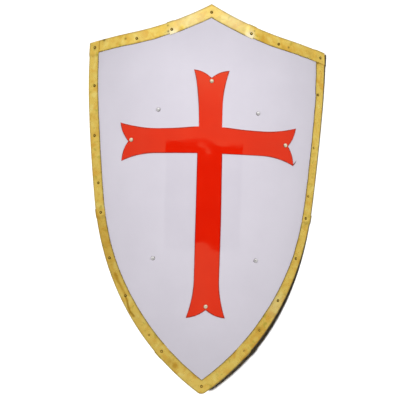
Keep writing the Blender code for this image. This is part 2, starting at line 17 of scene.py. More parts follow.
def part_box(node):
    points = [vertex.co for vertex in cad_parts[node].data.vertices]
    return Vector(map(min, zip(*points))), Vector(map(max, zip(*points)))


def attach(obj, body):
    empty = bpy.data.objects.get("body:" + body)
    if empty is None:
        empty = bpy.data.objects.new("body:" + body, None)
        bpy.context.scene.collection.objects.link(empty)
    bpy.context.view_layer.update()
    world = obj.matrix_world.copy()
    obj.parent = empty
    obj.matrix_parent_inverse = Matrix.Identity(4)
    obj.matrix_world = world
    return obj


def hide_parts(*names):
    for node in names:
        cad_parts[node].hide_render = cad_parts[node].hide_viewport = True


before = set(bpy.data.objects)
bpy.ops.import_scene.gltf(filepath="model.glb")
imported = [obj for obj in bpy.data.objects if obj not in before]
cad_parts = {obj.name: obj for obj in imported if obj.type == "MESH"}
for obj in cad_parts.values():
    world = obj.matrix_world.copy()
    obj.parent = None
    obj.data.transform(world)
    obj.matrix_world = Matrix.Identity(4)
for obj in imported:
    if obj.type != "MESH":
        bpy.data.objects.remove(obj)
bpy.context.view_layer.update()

# Shield's own sizes, in metres and degrees, as the solids have them
BEND_RADIUS = 0.47
PLATE_THICKNESS = 0.0012
HALF_WIDTH = 0.2708
CORNER_HEIGHT = 0.327
PEAK_SLOPE = 30.0
PEAK_HOLLOW_RADIUS = 0.48
SHOULDER_SLOPE = 8.5
SIDE_SPLAY = 1.6
UPPER_SIDE_RADIUS = 1.06
UPPER_SIDE_TURN = 6.45
MIDDLE_SIDE_RADIUS = 3.7
MIDDLE_SIDE_TURN = 3.4
LOWER_SIDE_RADIUS = 0.576
TIP_RADIUS = 0.012
REST_TILT = 3.7
GAP = 0.0003

EDGING_SHEET = 0.0008
EDGING_TOP_WIDTH = 0.0246
EDGING_BACK_WIDTH = 0.02
LAP_UNDER = 0.007
LAP_RAMP = 0.006
LAP_LIFT = EDGING_SHEET + GAP
PEAK_OVERHANG = 0.006
SIDE_OVERHANG = 0.0093
# Width of each side's front flange, as (run, width)
SIDE_WIDTHS = {
    "left": ((0.0, 0.0232), (0.187, 0.024), (0.455, 0.0206), (0.6, 0.0234), (0.7, 0.0243)),
    "right": ((0, 0.0246), (0.0915, 0.0228), (0.0945, 0.0212), (0.46, 0.0198), (0.6, 0.0236), (0.7, 0.0243)),
}

PEAK_RIVET_INSET = 0.0165
TIP_RIVET_INSET = 0.014
CORNER_RIVET_RUN = 0.0107
CORNER_RIVET_INSET = 0.0128
TOP_LAP_RIVETS = {"left": (0.0963, 0.016), "right": (0.0991, 0.0162)}
TOP_RIVETS = {"left": (0.1719, 0.0142), "right": (0.162, 0.015)}
SIDE_LAP_RIVETS = {"left": (0.3676, 0.0116), "right": (0.3681, 0.0119)}
TIP_LAP_RIVETS = {"left": (0.6928, 0.0105), "right": (0.6879, 0.01)}
SIDE_RIVETS = {
    "left": (
        (0.094, 0.0145), (0.202, 0.0105), (0.304, 0.012), (0.467, 0.0085), (0.554, 0.011), (0.65, 0.011),
    ),
    "right": (
        (0.094, 0.0145), (0.212, 0.0135), (0.319, 0.0128), (0.459, 0.0112), (0.559, 0.0118), (0.634, 0.0114),
    ),
}
# Old, filled holes that show as small dark marks on the shoulders
OLD_HOLES = {"left": (0.1969, 0.01), "right": (0.1858, 0.0154)}
# Heads, tails and washers, as (radius, height)
EDGE_HEAD = (0.0024, 0.001)
EDGE_TAIL = (0.0022, 0.0008)
DOME_HEAD = (0.0045, 0.003)
DOME_TAIL = (0.0035, 0.0014)
WASHER = (0.008, 0.001)
SHANK_RADIUS = 0.0012

CROSS_SHEET = 0.001
CROSS_OFFSET = 0.004
CROSS_HEIGHT = 0.116
CROSS_HALF_BAR = 0.0258
TOP_ARM_HALF_BAR = 0.024
TOP_ARM_LENGTH = 0.148
TOP_ARM_HALF_END = 0.037
SIDE_ARM_LENGTH = 0.1885
SIDE_ARM_SKEW = 0.0025
SIDE_ARM_DROOP = 0.002
SIDE_ARM_HALF_END = 0.0405
LOW_ARM_LENGTH = 0.363
LOW_ARM_HALF_END = 0.04
FLARE_LENGTH = 0.08
NOTCH_DEPTH = 0.0165
NOTCH_FULLNESS = 0.0035
CROSS_RIVET_SETBACK = 0.007

STRAPS = {"grip": (0.179, 0.105), "arm": (-0.128, 0.107)}
STRAP_WIDTH = 0.032
STRAP_THICKNESS = 0.003
STRAP_TAB = 0.016
STRAP_BOW = 0.045
STRAP_HALF_FLAT = 0.033
STRAP_EASE = 0.033

# Fineness
STATION_STEP = 0.0018
PANEL_STEP = 0.006
ROUND_SIDES = 32


# Shapes of the rim


class Rim:
    """A stretch of the rim: tangent arcs of (length, turn), with the shield on the right of the way."""

    def __init__(self, start, heading, arcs):
        self.start = Vector(start)
        self.heading = heading
        self.arcs = arcs
        self.length = sum(length for length, turn in arcs)

    def at(self, run):
        """Point and inward normal at a run. Before its start and past its end the rim goes on straight."""
        heading = self.heading
        before = min(run, 0.0)
        point = self.start + before * Vector((math.cos(heading), math.sin(heading)))
        left = run - before
        for length, turn in self.arcs:
            step = min(left, length)
            half_bend = turn * step / length / 2
            chord = step * (math.sin(half_bend) / half_bend if half_bend else 1.0)
            point += chord * Vector((math.cos(heading + half_bend), math.sin(heading + half_bend)))
            heading += 2 * half_bend
            left -= step
        point += left * Vector((math.cos(heading), math.sin(heading)))
        return point, Vector((math.sin(heading), -math.cos(heading)))


def make_top():
    """Right half of the top edge, from the peak to the corner: a hollow and then a straight shoulder."""
    peak, shoulder = math.radians(PEAK_SLOPE), math.radians(SHOULDER_SLOPE)
    hollow_width = PEAK_HOLLOW_RADIUS * (math.sin(peak) - math.sin(shoulder))
    hollow_drop = PEAK_HOLLOW_RADIUS * (math.cos(shoulder) - math.cos(peak))
    shoulder_width = HALF_WIDTH - hollow_width
    peak_height = CORNER_HEIGHT + hollow_drop + shoulder_width * math.tan(shoulder)
    hollow = (PEAK_HOLLOW_RADIUS * (peak - shoulder), peak - shoulder)
    return Rim((0.0, peak_height), -peak, [hollow, (shoulder_width / math.cos(shoulder), 0.0)])


def make_upper_side():
    """Right side from the corner down to where its last, tighter bend starts."""
    upper, middle = math.radians(UPPER_SIDE_TURN), math.radians(MIDDLE_SIDE_TURN)
    arcs = [(UPPER_SIDE_RADIUS * upper, -upper), (MIDDLE_SIDE_RADIUS * middle, -middle)]
    return Rim((HALF_WIDTH, CORNER_HEIGHT), math.radians(SIDE_SPLAY) - math.pi / 2, arcs)


TOP = make_top()
UPPER_SIDE = make_upper_side()
UPPER_SIDE_END = UPPER_SIDE.at(UPPER_SIDE.length)[0].x
UPPER_SIDE_LEAN = math.radians(UPPER_SIDE_TURN + MIDDLE_SIDE_TURN - SIDE_SPLAY)


def low_turn(inset):
    """Turn of the lower side up to where a line at this inset from it meets the shield's axis."""
    reach = (LOWER_SIDE_RADIUS * math.cos(UPPER_SIDE_LEAN) - UPPER_SIDE_END) / (LOWER_SIDE_RADIUS - inset)
    return math.acos(reach) - UPPER_SIDE_LEAN


def make_side():
    """Whole right side, from the corner to the middle of the rounded tip."""
    low = low_turn(TIP_RADIUS)
    tip = math.pi / 2 - UPPER_SIDE_LEAN - low
    arcs = UPPER_SIDE.arcs + [(LOWER_SIDE_RADIUS * low, -low), (TIP_RADIUS * tip, -tip)]
    return Rim(UPPER_SIDE.start, UPPER_SIDE.heading, arcs)


SIDE = make_side()


def tip_mitre_run(inset):
    """Run of the side from which a line at this inset reaches the shield's axis."""
    return UPPER_SIDE.length + LOWER_SIDE_RADIUS * low_turn(inset)


def peak_mitre_run(inset):
    """Run of the top edge from which a line at this inset reaches the shield's axis."""
    peak = math.radians(PEAK_SLOPE)
    mitre = math.asin(PEAK_HOLLOW_RADIUS * math.sin(peak) / (PEAK_HOLLOW_RADIUS + inset))
    return PEAK_HOLLOW_RADIUS * (peak - mitre)


CORNER_SKEW = math.radians(SHOULDER_SLOPE + SIDE_SPLAY)
# How far the left shoulder is drawn in at its corner. It grows up from a height and between two distances.
DRAWN_IN = 0.0036
DRAWN_IN_ABOVE = 0.12
DRAWN_IN_ASIDE = (0.05, 0.25)
DRAWN_IN_CURVE = 1.7


def place(u, v, h=0.0):
    """Bent position of a flat one."""
    near, far = DRAWN_IN_ASIDE
    aside = min(1.0, max(0.0, (-u - near) / (far - near)))
    above = max(0.0, (v - DRAWN_IN_ABOVE) / (CORNER_HEIGHT - DRAWN_IN_ABOVE))
    angle = (u + DRAWN_IN * aside * above**DRAWN_IN_CURVE) / BEND_RADIUS
    radius = BEND_RADIUS + h
    return Vector((radius * math.sin(angle), v, radius * math.cos(angle) - BEND_RADIUS))


def spaced(start, end, step):
    """Values from start to end, both included, no further apart than the step."""
    count = max(1, math.ceil(abs(end - start) / step - 1e-6))
    return [start + (end - start) * k / count for k in range(count + 1)]


def side_runs(start, end, step):
    """Runs down a side at a step, finest round the tip."""
    tip_start = SIDE.length - SIDE.arcs[-1][0]
    if end <= tip_start:
        return spaced(start, end, step)
    return spaced(start, tip_start, step) + spaced(tip_start, end, TIP_RADIUS / 8)[1:]


def rim_outline(step):
    """Closed flat outline of the plate, clockwise from the peak."""
    right = [TOP.at(run)[0] for run in spaced(0.0, TOP.length, step)]
    right += [SIDE.at(run)[0] for run in side_runs(0.0, SIDE.length, step)[1:]]
    return right + [Vector((-point.x, point.y)) for point in right[-2:0:-1]]


def find_shield():
    """Matrix from the shield's coordinates to the frame's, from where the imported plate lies."""
    tilt = Matrix.Rotation(math.radians(REST_TILT), 4, "X")
    outline = rim_outline(0.01)
    heights = (0.0, -PLATE_THICKNESS)
    points = np.array([tilt @ place(point.x, point.y, h) for point in outline for h in heights])
    low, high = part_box("shield_plate")
    middle = (Vector(low) + Vector(high)) / 2
    shift = middle - Vector((points.min(axis=0) + points.max(axis=0)) / 2)
    return Matrix.Translation(shift) @ tilt


SHIELD = find_shield()


def seat(u, v, h=0.0):
    """Matrix of a round piece that stands on the bent face, its Z along the face's normal."""
    return SHIELD @ Matrix.Translation(place(u, v, h)) @ Matrix.Rotation(u / BEND_RADIUS, 4, "Y")


# Rivets' places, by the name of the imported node


def rivet_spot(rim, run, inset, hand):
    point, inward = rim.at(run)
    spot = point + inset * inward
    return (-spot.x, spot.y) if hand == "left" else (spot.x, spot.y)


def edge_rivets():
    """Each edging rivet as name: (flat position, layers of edging)."""
    rivets = {
        "rivet_peak": ((0.0, TOP.at(0.0)[0].y - PEAK_RIVET_INSET), 1),
        "rivet_tip": ((0.0, SIDE.at(SIDE.length)[0].y + TIP_RIVET_INSET), 1),
    }
    for hand in ("left", "right"):
        placed = [
            (f"corner_{hand}", SIDE, (CORNER_RIVET_RUN, CORNER_RIVET_INSET), 2),
            (f"top_lap_{hand}", TOP, TOP_LAP_RIVETS[hand], 2),
            (f"top_{hand}", TOP, TOP_RIVETS[hand], 1),
            (f"side_lap_{hand}", SIDE, SIDE_LAP_RIVETS[hand], 2),
            (f"tip_lap_{hand}", SIDE, TIP_LAP_RIVETS[hand], 2),
        ]
        placed += [(f"side_{hand}_{k}", SIDE, spot, 1) for k, spot in enumerate(SIDE_RIVETS[hand], 1)]
        for name, rim, spot, layers in placed:
            rivets["rivet_" + name] = (rivet_spot(rim, *spot, hand), layers)
    return rivets


def cross_rivets():
    """Flat position of the rivet behind each notch of the cross."""
    back = NOTCH_DEPTH + CROSS_RIVET_SETBACK
    spots = {
        "top": (0.0, TOP_ARM_LENGTH - back),
        "right": (SIDE_ARM_LENGTH - back, 0.0),
        "bottom": (0.0, back - LOW_ARM_LENGTH),
        "left": (back - SIDE_ARM_LENGTH, 0.0),
    }
    return {"cross_rivet_" + name: (CROSS_OFFSET + u, CROSS_HEIGHT + v) for name, (u, v) in spots.items()}


EDGE_RIVETS = edge_rivets()
CROSS_RIVETS = cross_rivets()
STRAP_RIVETS = {
    f"{name}_{hand}": (sign * reach, height)
    for name, (height, reach) in STRAPS.items()
    for hand, sign in (("left", -1), ("right", 1))
}
EDGE_SPOTS = [Vector(spot) for spot, layers in EDGE_RIVETS.values()]
MARK_SPOTS = [Vector(rivet_spot(TOP, *OLD_HOLES[hand], hand)) for hand in ("left", "right")]


# Meshes


def add_object(name, data):
    made = bpy.data.objects.new(name, data)
    bpy.context.scene.collection.objects.link(made)
    return made


def finish_piece(name, mesh, material, slot, *replaced):
    """Makes a mesh in the frame's coordinates a piece of the shield."""
    piece = add_object(name, mesh)
    mesh.materials.append(material)
    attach(piece, "root")
    if replaced:
        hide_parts(*replaced)
    return piece


def mesh_from(name, bm):
    for face in bm.faces:
        face.smooth = True
    mesh = bpy.data.meshes.new(name)
    bm.to_mesh(mesh)
    bm.free()
    return mesh


def add_mark(mesh, name, values):
    """Stores a number at each point of the mesh, for its material."""
    mesh.attributes.new(name, "FLOAT", "POINT").data.foreach_set("value", values)


def solidify(piece, thickness, offset, bevel):
    """Gives a surface its thickness and softens the cut edges."""
    shell = piece.modifiers.new("thickness", "SOLIDIFY")
    shell.thickness = thickness
    shell.offset = offset
    shell.use_even_offset = True
    edge = piece.modifiers.new("cut edge", "BEVEL")
    edge.width = bevel
    edge.segments = 2
    edge.limit_method = "ANGLE"
    edge.angle_limit = math.radians(50)
    edge.harden_normals = True


def grid_mesh(name, rows):
    """A smooth surface through rows of points."""
    bm = bmesh.new()
    grid = [[bm.verts.new(point) for point in row] for row in rows]
    for row, after in zip(grid, grid[1:]):
        for a, b, c, d in zip(row, row[1:], after[1:], after):
            bm.faces.new((a, d, c, b))
    bm.normal_update()
    return mesh_from(name, bm)


def cut_sheet(name, outline, step, height_at, border):
    """A flat outline with a border, cut into a net and bent, each point at its own height."""
    bm = bmesh.new()
    bm.faces.new([bm.verts.new((u, v, 0.0)) for u, v in outline])
    bm.normal_update()
    bmesh.ops.inset_individual(bm, faces=bm.faces, thickness=border, use_even_offset=True)
    bmesh.ops.reverse_faces(bm, faces=[face for face in bm.faces if face.normal.z < 0])
    for axis, normal in enumerate((Vector((1.0, 0.0, 0.0)), Vector((0.0, 1.0, 0.0)))):
        values = [point[axis] for point in outline]
        for line in spaced(min(values), max(values), step)[1:-1]:
            whole = bm.verts[:] + bm.edges[:] + bm.faces[:]
            bmesh.ops.bisect_plane(bm, geom=whole, plane_co=normal * line, plane_no=normal, dist=1e-6)
    for vert in bm.verts:
        u, v = vert.co.x, vert.co.y
        vert.co = SHIELD @ place(u, v, height_at(u, v))
    rim = [float(vert.is_boundary) for vert in bm.verts]
    mesh = mesh_from(name, bm)
    add_mark(mesh, "edge", rim)
    return mesh


def turned(name, profile, matrix):
    """Turned piece: a profile of (radius, height) from top to bottom, spun about the matrix's Z."""
    bm = bmesh.new()
    verts = [bm.verts.new((radius, 0.0, height)) for radius, height in profile]
    edges = [bm.edges.new(pair) for pair in zip(verts, verts[1:])]
    bmesh.ops.spin(
        bm, geom=verts + edges, axis=(0, 0, 1), angle=2 * math.pi, steps=ROUND_SIDES, use_merge=True
    )
    bmesh.ops.remove_doubles(bm, verts=bm.verts, dist=1e-7)
    bmesh.ops.recalc_face_normals(bm, faces=bm.faces)
    widest = max(radius for radius, height in profile)
    reaches = [vert.co.xy.length / widest for vert in bm.verts]
    bm.transform(matrix)
    mesh = mesh_from(name, bm)
    add_mark(mesh, "reach", reaches)
    mesh.set_sharp_from_angle(angle=math.radians(50))
    return mesh


def ripple(u, v, size, seed=0.0):
    """Smooth noise from -1 to 1 over the flat sheet, with humps of about this size."""
    return noise.noise(Vector((u / size, v / size, seed)))


def waves(table, u, v):
    """Height of a sheet's waves, from their (height, size, seed)."""
    return sum(height * ripple(u, v, size, seed) for height, size, seed in table)


def hump(spot, u, v, radius):
    """1 at a spot, falling smoothly to nothing over the radius."""
    distance = math.hypot(u - spot[0], v - spot[1])
    return math.exp(-((distance / radius) ** 2))


def humps(spots, point, radius, reach):
    """Sum of the humps at the spots that are within reach of a point."""
    return sum(hump(spot, *point, radius) for spot in spots if (spot - point).length < reach)


def spots_at(spots, u, v):
    """Sum of humps, from their (u, v, radius, strength)."""
    return sum(strength * hump((a, b), u, v, radius) for a, b, radius, strength in spots)


def near_line(line, point, reach):
    """1 on the line, falling to 0 at the reach."""
    nearest = reach
    corners = [Vector(spot) for spot in line]
    for start, end in zip(corners, corners[1:]):
        along = (end - start).normalized()
        step = min(max((point - start).dot(along), 0.0), (end - start).length)
        nearest = min(nearest, (point - start - along * step).length)
    return 1.0 - nearest / reach


# Brass edging

FRONT_POINTS = 24
FOLD_POINTS = 5
BACK_POINTS = 8
DIMPLE_DEPTH = 0.00035
DIMPLE_RADIUS = 0.0042
DIMPLE_REACH = 0.012
MARK_RADIUS = 0.0016
MARK_REACH = 0.006
# Waves of the sheets, as (height, size, seed)
FRONT_WAVES = ((0.00022, 0.034, 0.0), (0.00011, 0.013, 5.0))
BACK_WAVES = ((0.000132, 0.028, 2.0),)
CURL_HEIGHT = 0.00018
CURL_WIDTH = 0.002
CUT_WANDER = 0.0005
CUT_WANDER_SIZE = 0.021
LAP_FLARE = 0.0013
LAP_FLARE_LENGTH = 0.045
CORNER_STRETCH = 0.04
CREASE = ((-0.1635, -0.209), (-0.1594, -0.216), (-0.1565, -0.2296), (-0.1513, -0.2405), (-0.1437, -0.2481))
STREAK = ((-0.1875, -0.1637), (-0.1802, -0.1779), (-0.1718, -0.1919), (-0.165, -0.203))
CREASE_REACH = 0.0022
CREASE_SHARE = 0.6
# Grime along a cut, as (strength, width). Along the flange's edge, the rim and the seams it is also painted
# shade: a painted contact shadow where the flange meets the plate, the rim darker where the fold turns from
# the light, and painted gap shadows at the seams
FLANGE_GRIME_AND_SHADE = (1.14, 0.0013)
RIM_GRIME_AND_SHADE = (0.6, 0.001)
SEAM_GRIME_AND_SHADE = (0.12, 0.001)
MARK_GRIME = (0.9, 0.002)
CREASE_GRIME = (0.35, 0.0015)
# Grime and painted shade on the fold, as (low, high) round its front half, and under it: the fold is painted
# darker as it turns from the light
FOLD_GRIME_AND_SHADE = (0.45, 0.85)
UNDER_GRIME_AND_SHADE = 0.75
BACK_GRIME = 0.25
BACK_AGEING = 0.3
# The front's relief dies out over this share of its width before the rim, and the back's over this length
FRONT_EASE = 0.2
BACK_EASE = 0.004


# Cross-section of the edging: rim point, flange's edge, outward vector, lift and distance to a cut end
Station = namedtuple("Station", "rim edge outward lift from_end")


def side_width(hand):
    """Width of a side's front flange as a function of the run."""
    runs, widths = zip(*SIDE_WIDTHS[hand])
    return lambda run: float(np.interp(run, runs, widths))


def top_width(hand, flare):
    """The same for a top edge, where the flange flares or shrinks a little at the lap."""
    start, end = top_lap(hand)
    middle = end if flare > 0 else start
    return lambda run: EDGING_TOP_WIDTH + flare * max(0.0, 1.0 - abs(run - middle) / LAP_FLARE_LENGTH)


def strip_stations(rim, ends, inner_ends, width_at, over=(), under=(), cut_ends=(True, True)):
    """Stations between two runs of a rim, lifted where the strip lies over another and eased down beside it.

    The flange's edge is set off from the rim at the inner runs, which stretch or shrink to the inner ends.
    """
    runs = side_runs(*ends, STATION_STEP) if rim is SIDE else spaced(*ends, STATION_STEP)
    seed = (3.1 * len(over), 900 * width_at(0.0))
    marks = [mark for start, end in [*over, *under] for mark in (start, end)]
    knees = [runs[0], *sorted(mark for mark in marks if runs[0] + GAP < mark < runs[-1] - GAP), runs[-1]]
    inner_knees = [inner_ends[0], *knees[1:-1], inner_ends[1]]
    made = []
    for run in runs:
        inner_run = float(np.interp(run, knees, inner_knees))
        point, inward = rim.at(run)
        base, base_inward = rim.at(inner_run)
        outward = -inward
        if rim is TOP and run == 0.0:
            outward = Vector((0.0, 1.0 / math.cos(math.radians(PEAK_SLOPE))))
        outside = [max(start - run, run - end, 0.0) for start, end in over]
        lift = LAP_LIFT * max([0.0] + [1.0 - distance / LAP_RAMP for distance in outside])
        to_cuts = [abs(run - end) for end, cut in zip((runs[0], runs[-1]), cut_ends) if cut]
        wander = CUT_WANDER * noise.noise(Vector((run / CUT_WANDER_SIZE, *seed)))
        edge = base + (width_at(inner_run) + wander) * base_inward
        made.append(Station(point, edge, outward, lift, min(to_cuts)))
    return made


def top_lap(hand):
    """Runs of the top edge where the peak piece lies over the shoulder one."""
    run = TOP_LAP_RIVETS[hand][0]
    return run - LAP_UNDER, run + PEAK_OVERHANG


def side_lap(rivets, hand):
    """Runs of the side where the lower of two pieces lies over the upper one."""
    run = rivets[hand][0]
    return run - SIDE_OVERHANG, run + LAP_UNDER


def strips_of(hand, top_covers):
    """Stations of one hand's strips and of its halves of the peak's and the tip's piece, taken from the peak.

    At the corner the top strip covers the upper one, or the other way round.
    """
    top, side, tip = top_lap(hand), side_lap(SIDE_LAP_RIVETS, hand), side_lap(TIP_LAP_RIVETS, hand)
    width_at = side_width(hand)
    slant, skew = math.cos(CORNER_SKEW), math.tan(CORNER_SKEW)
    top_over = [(TOP.length - width_at(0.0) / slant - GAP, TOP.length)] if top_covers else []
    upper_over = [] if top_covers else [(0.0, EDGING_TOP_WIDTH / slant + GAP)]
    inner = {
        "peak": (peak_mitre_run(EDGING_TOP_WIDTH), top[1]),
        "top": (top[0], TOP.length + EDGING_TOP_WIDTH * skew),
        "upper": (-width_at(0.0) * skew, side[1]),
        "tip": (tip[0], tip_mitre_run(width_at(SIDE.length))),
    }
    lower, under = (side[0], tip[1]), [side, (0.0, CORNER_STRETCH)]
    flared, shrunk = top_width(hand, LAP_FLARE), top_width(hand, -LAP_FLARE)
    return {
        "peak": strip_stations(TOP, (0.0, top[1]), inner["peak"], flared, [top], (), (False, True)),
        "top": strip_stations(TOP, (top[0], TOP.length), inner["top"], shrunk, top_over, [top]),
        "upper": strip_stations(SIDE, (0.0, side[1]), inner["upper"], width_at, upper_over, under),
        "lower": strip_stations(SIDE, lower, lower, width_at, [side], [tip]),
        "tip": strip_stations(SIDE, (tip[0], SIDE.length), inner["tip"], width_at, [tip], (), (True, False)),
    }


def mirrored(strip):
    """The same strip on the left of the shield, still taken clockwise."""
    flip = Vector((-1.0, 1.0))
    return [Station(*(vector * flip for vector in station[:3]), *station[3:]) for station in reversed(strip)]


def edging_strips():
    """Stations of each piece, clockwise. Left, the side strip covers the corner, and right, the top one."""
    left = {part: mirrored(strip) for part, strip in strips_of("left", False).items()}
    right = strips_of("right", True)
    return {
        "edging_peak": left["peak"][:-1] + right["peak"],
        **{f"edging_{part}_right": right[part] for part in ("top", "upper", "lower")},
        "edging_tip": right["tip"][:-1] + left["tip"],
        **{f"edging_{part}_left": left[part] for part in ("lower", "upper", "top")},
    }


# Where the brass is more tarnished or, below nothing, lighter with polish and a painted highlight, as (u, v,
# radius, strength)
AGEING_AND_HIGHLIGHT = (
    (-0.08, 0.337, 0.01, -1.1), (0.083, 0.34, 0.01, -1.1), (-0.044, 0.368, 0.04, -0.4),
    (0.047, 0.373, 0.04, -0.4), (0.11, 0.341, 0.013, 0.6), (0.15, 0.335, 0.028, 0.24),
    (0.2, 0.325, 0.028, 0.24), (0.227, 0.322, 0.008, 0.45), (0.243, 0.317, 0.009, 0.35),
    (-0.15, 0.335, 0.03, -0.12), (-0.236, 0.329, 0.009, 0.4), (-0.0607, 0.349, 0.004, 0.9),
    (-0.233, -0.06, 0.026, 0.45), (-0.222, -0.1, 0.026, 0.55), (-0.208, -0.14, 0.024, 0.5),
    (-0.19, -0.168, 0.016, 0.4), (-0.14, -0.255, 0.02, 0.25), (-0.0674, -0.3355, 0.008, 0.7),
    (-0.0549, -0.3441, 0.007, 1.0), (0.1185, -0.271, 0.007, 0.8), (0.13, -0.25, 0.012, 0.2),
    (0.2109, -0.0085, 0.008, 0.55), (0.19, -0.12, 0.03, 0.15), (0.236, 0.06, 0.03, 0.15),
    (-0.04, -0.365, 0.05, -0.08), (0.045, -0.365, 0.05, -0.06), (0.15, -0.22, 0.035, -0.25),
)
# Lines of tarnish, as (line, reach, strength)
TARNISHED_LINES = ((CREASE, 0.0036, 1.4), (STREAK, 0.005, 0.9))
# Dark stains, as (u, v, radius, strength)
DARK_SPOTS = (
    (-0.0912, 0.3547, 0.0016, 1.0), (-0.0898, 0.3427, 0.002, 1.0), (0.0918, 0.352, 0.0014, 1.0),
    (-0.236, 0.331, 0.003, 1.0), (0.2518, 0.3032, 0.0022, 1.0), (-0.2583, 0.3158, 0.0036, 1.0),
    (0.2583, 0.3158, 0.0028, 1.0), (0.2229, 0.3098, 0.002, 1.0), (0.2477, 0.2353, 0.0018, 1.0),
    (0.247, 0.229, 0.0016, 1.0), (0.1185, -0.271, 0.002, 1.0), (0.002, 0.37, 0.003, 1.0),
)


def front_relief(point, from_edge):
    """Height of the front flange over its even face: waves, curled edge, dimples, old holes and crease."""
    curl = CURL_HEIGHT * math.exp(-from_edge / CURL_WIDTH) * (1.0 + ripple(*point, 0.03, 9.0))
    hollows = humps(EDGE_SPOTS, point, DIMPLE_RADIUS, DIMPLE_REACH)
    hollows += humps(MARK_SPOTS, point, MARK_RADIUS, MARK_REACH)
    hollows += CREASE_SHARE * near_line(CREASE, point, CREASE_REACH)
    return waves(FRONT_WAVES, *point) + curl - DIMPLE_DEPTH * hollows


def along_cut(grime_and_shade, distance):
    """Grime and painted shade at a distance from a cut."""
    strength, width = grime_and_shade
    return strength * math.exp(-distance / width)


def front_grime_and_shade(point, from_edge, from_rim, station):
    """Grime and painted shade on the front flange, from 0 to 1: painted shadow along its edge and at the
    seams, painted shade by the rim, and marks, stains and the crease. A strip that lies over another has
    little on its edge.
    """
    grime_and_shade = along_cut(FLANGE_GRIME_AND_SHADE, from_edge) * (1.0 - 0.9 * station.lift / LAP_LIFT)
    grime_and_shade += along_cut(RIM_GRIME_AND_SHADE, from_rim)
    grime_and_shade += along_cut(SEAM_GRIME_AND_SHADE, station.from_end) * (0.5 + 0.5 * ripple(*point, 0.006, 3.0))
    strength, radius = MARK_GRIME
    grime_and_shade += strength * (humps(MARK_SPOTS, point, radius, MARK_REACH) + spots_at(DARK_SPOTS, *point))
    strength, reach = CREASE_GRIME
    return min(1.0, grime_and_shade + strength * near_line(CREASE, point, reach))


def section(station):
    """Outer side of the folded brass as (point, grime and painted shade, ageing and painted highlight), from
    the front's edge round the rim. Round the fold and under it the grime is also painted shade, darker as the
    fold turns from the light.
    """
    off = GAP + station.lift + EDGING_SHEET
    width = (station.edge - station.rim).length
    rows = []
    for share in spaced(0.0, 1.0, 1.0 / (FRONT_POINTS - 1)):
        point = station.edge.lerp(station.rim, share)
        height = off + front_relief(point, share * width) * min(1.0, (1.0 - share) / FRONT_EASE)
        grime_and_shade = front_grime_and_shade(point, share * width, (1.0 - share) * width, station)
        streaks = sum(strength * near_line(line, point, reach) for line, reach, strength in TARNISHED_LINES)
        rows.append((place(*point, height), grime_and_shade, spots_at(AGEING_AND_HIGHLIGHT, *point) + streaks))
    aged_and_highlit = spots_at(AGEING_AND_HIGHLIGHT, *station.rim)
    low, high = FOLD_GRIME_AND_SHADE
    for k in range(1, FOLD_POINTS + 1):
        turn = math.pi / 2 * k / FOLD_POINTS
        point = station.rim + station.outward * (off * math.sin(turn))
        rows.append((place(*point, off * math.cos(turn)), low + (high - low) * k / FOLD_POINTS, aged_and_highlit))
    for k in range(FOLD_POINTS, 0, -1):
        turn = math.pi / 2 * k / FOLD_POINTS
        point = station.rim + station.outward * (off * math.sin(turn))
        rows.append((place(*point, -PLATE_THICKNESS - off * math.cos(turn)), UNDER_GRIME_AND_SHADE, aged_and_highlit))
    inward = (station.edge - station.rim) / width
    for reach in spaced(0.0, EDGING_BACK_WIDTH, EDGING_BACK_WIDTH / BACK_POINTS):
        point = station.rim + inward * reach
        lift = waves(BACK_WAVES, *point) * min(1.0, reach / BACK_EASE)
        rows.append((place(*point, -PLATE_THICKNESS - off - lift), BACK_GRIME, BACK_AGEING))
    return rows


def add_edging(material):
    for name, strip in edging_strips().items():
        sections = [section(station) for station in strip]
        mesh = grid_mesh(name, [[SHIELD @ point for point, grime_and_shade, aged_and_highlit in row] for row in sections])
        for column, mark in ((1, "grime_and_shade"), (2, "ageing_and_highlight")):
            add_mark(mesh, mark, [values[column] for row in sections for values in row])
        piece = finish_piece("brass_" + name, mesh, material, "edging_brass", name)
        solidify(piece, EDGING_SHEET, -1.0, 0.00012)


# Plate and cross


PLATE_BORDER = 0.0015
CROSS_BORDER = 0.0026
PLATE_WAVES = ((0.0001, 0.11, 1.0), (0.00003, 0.04, 4.0))
CROSS_WAVES = ((0.0001, 0.07, 7.0), (0.00007, 0.028, 8.0))
CROSS_LIFT = 0.00012
# Small bulges of the cross, as (u, v, radius, height)
CROSS_BULGES = (
    (0.001, 0.077, 0.017, 0.00052), (0.027, 0.104, 0.009, 0.00026),
    (-0.015, 0.1, 0.008, 0.00014), (-0.01, -0.078, 0.026, 0.00042),
)
DISH_DEPTH = 0.00022
DISH_RADIUS = 0.01
BURR = ((0.1885, 0.0745), (0.1975, 0.085))
BURR_WIDTH = 0.0028
BURR_TAPER = 0.85
BURR_BOW = 0.0006
BURR_LIFT = 0.001

# How the hand-cut cross wanders from the even one. Its bar's upper edge rises beside the top arm.
BAR_RISE = 0.0036
BAR_RISE_LENGTH = 0.036
LEFT_ARM_DROP = 0.0016
LEFT_ARM_DROP_LENGTH = 0.08
# The top arm's left edge and the low arm's right edge bow outwards, as (depth, height of the middle, spread)
TOP_ARM_BOW = (0.0024, 0.095, 0.035)
LOW_ARM_BOW = (0.001, -0.17, 0.09)
ARM_START = 0.01


def plate_relief(u, v):
    """Gentle waves of the rolled sheet, dished a little round each dome rivet."""
    dish = sum(hump(spot, u, v, DISH_RADIUS) for spot in STRAP_RIVETS.values())
    return waves(PLATE_WAVES, u, v) - DISH_DEPTH * dish


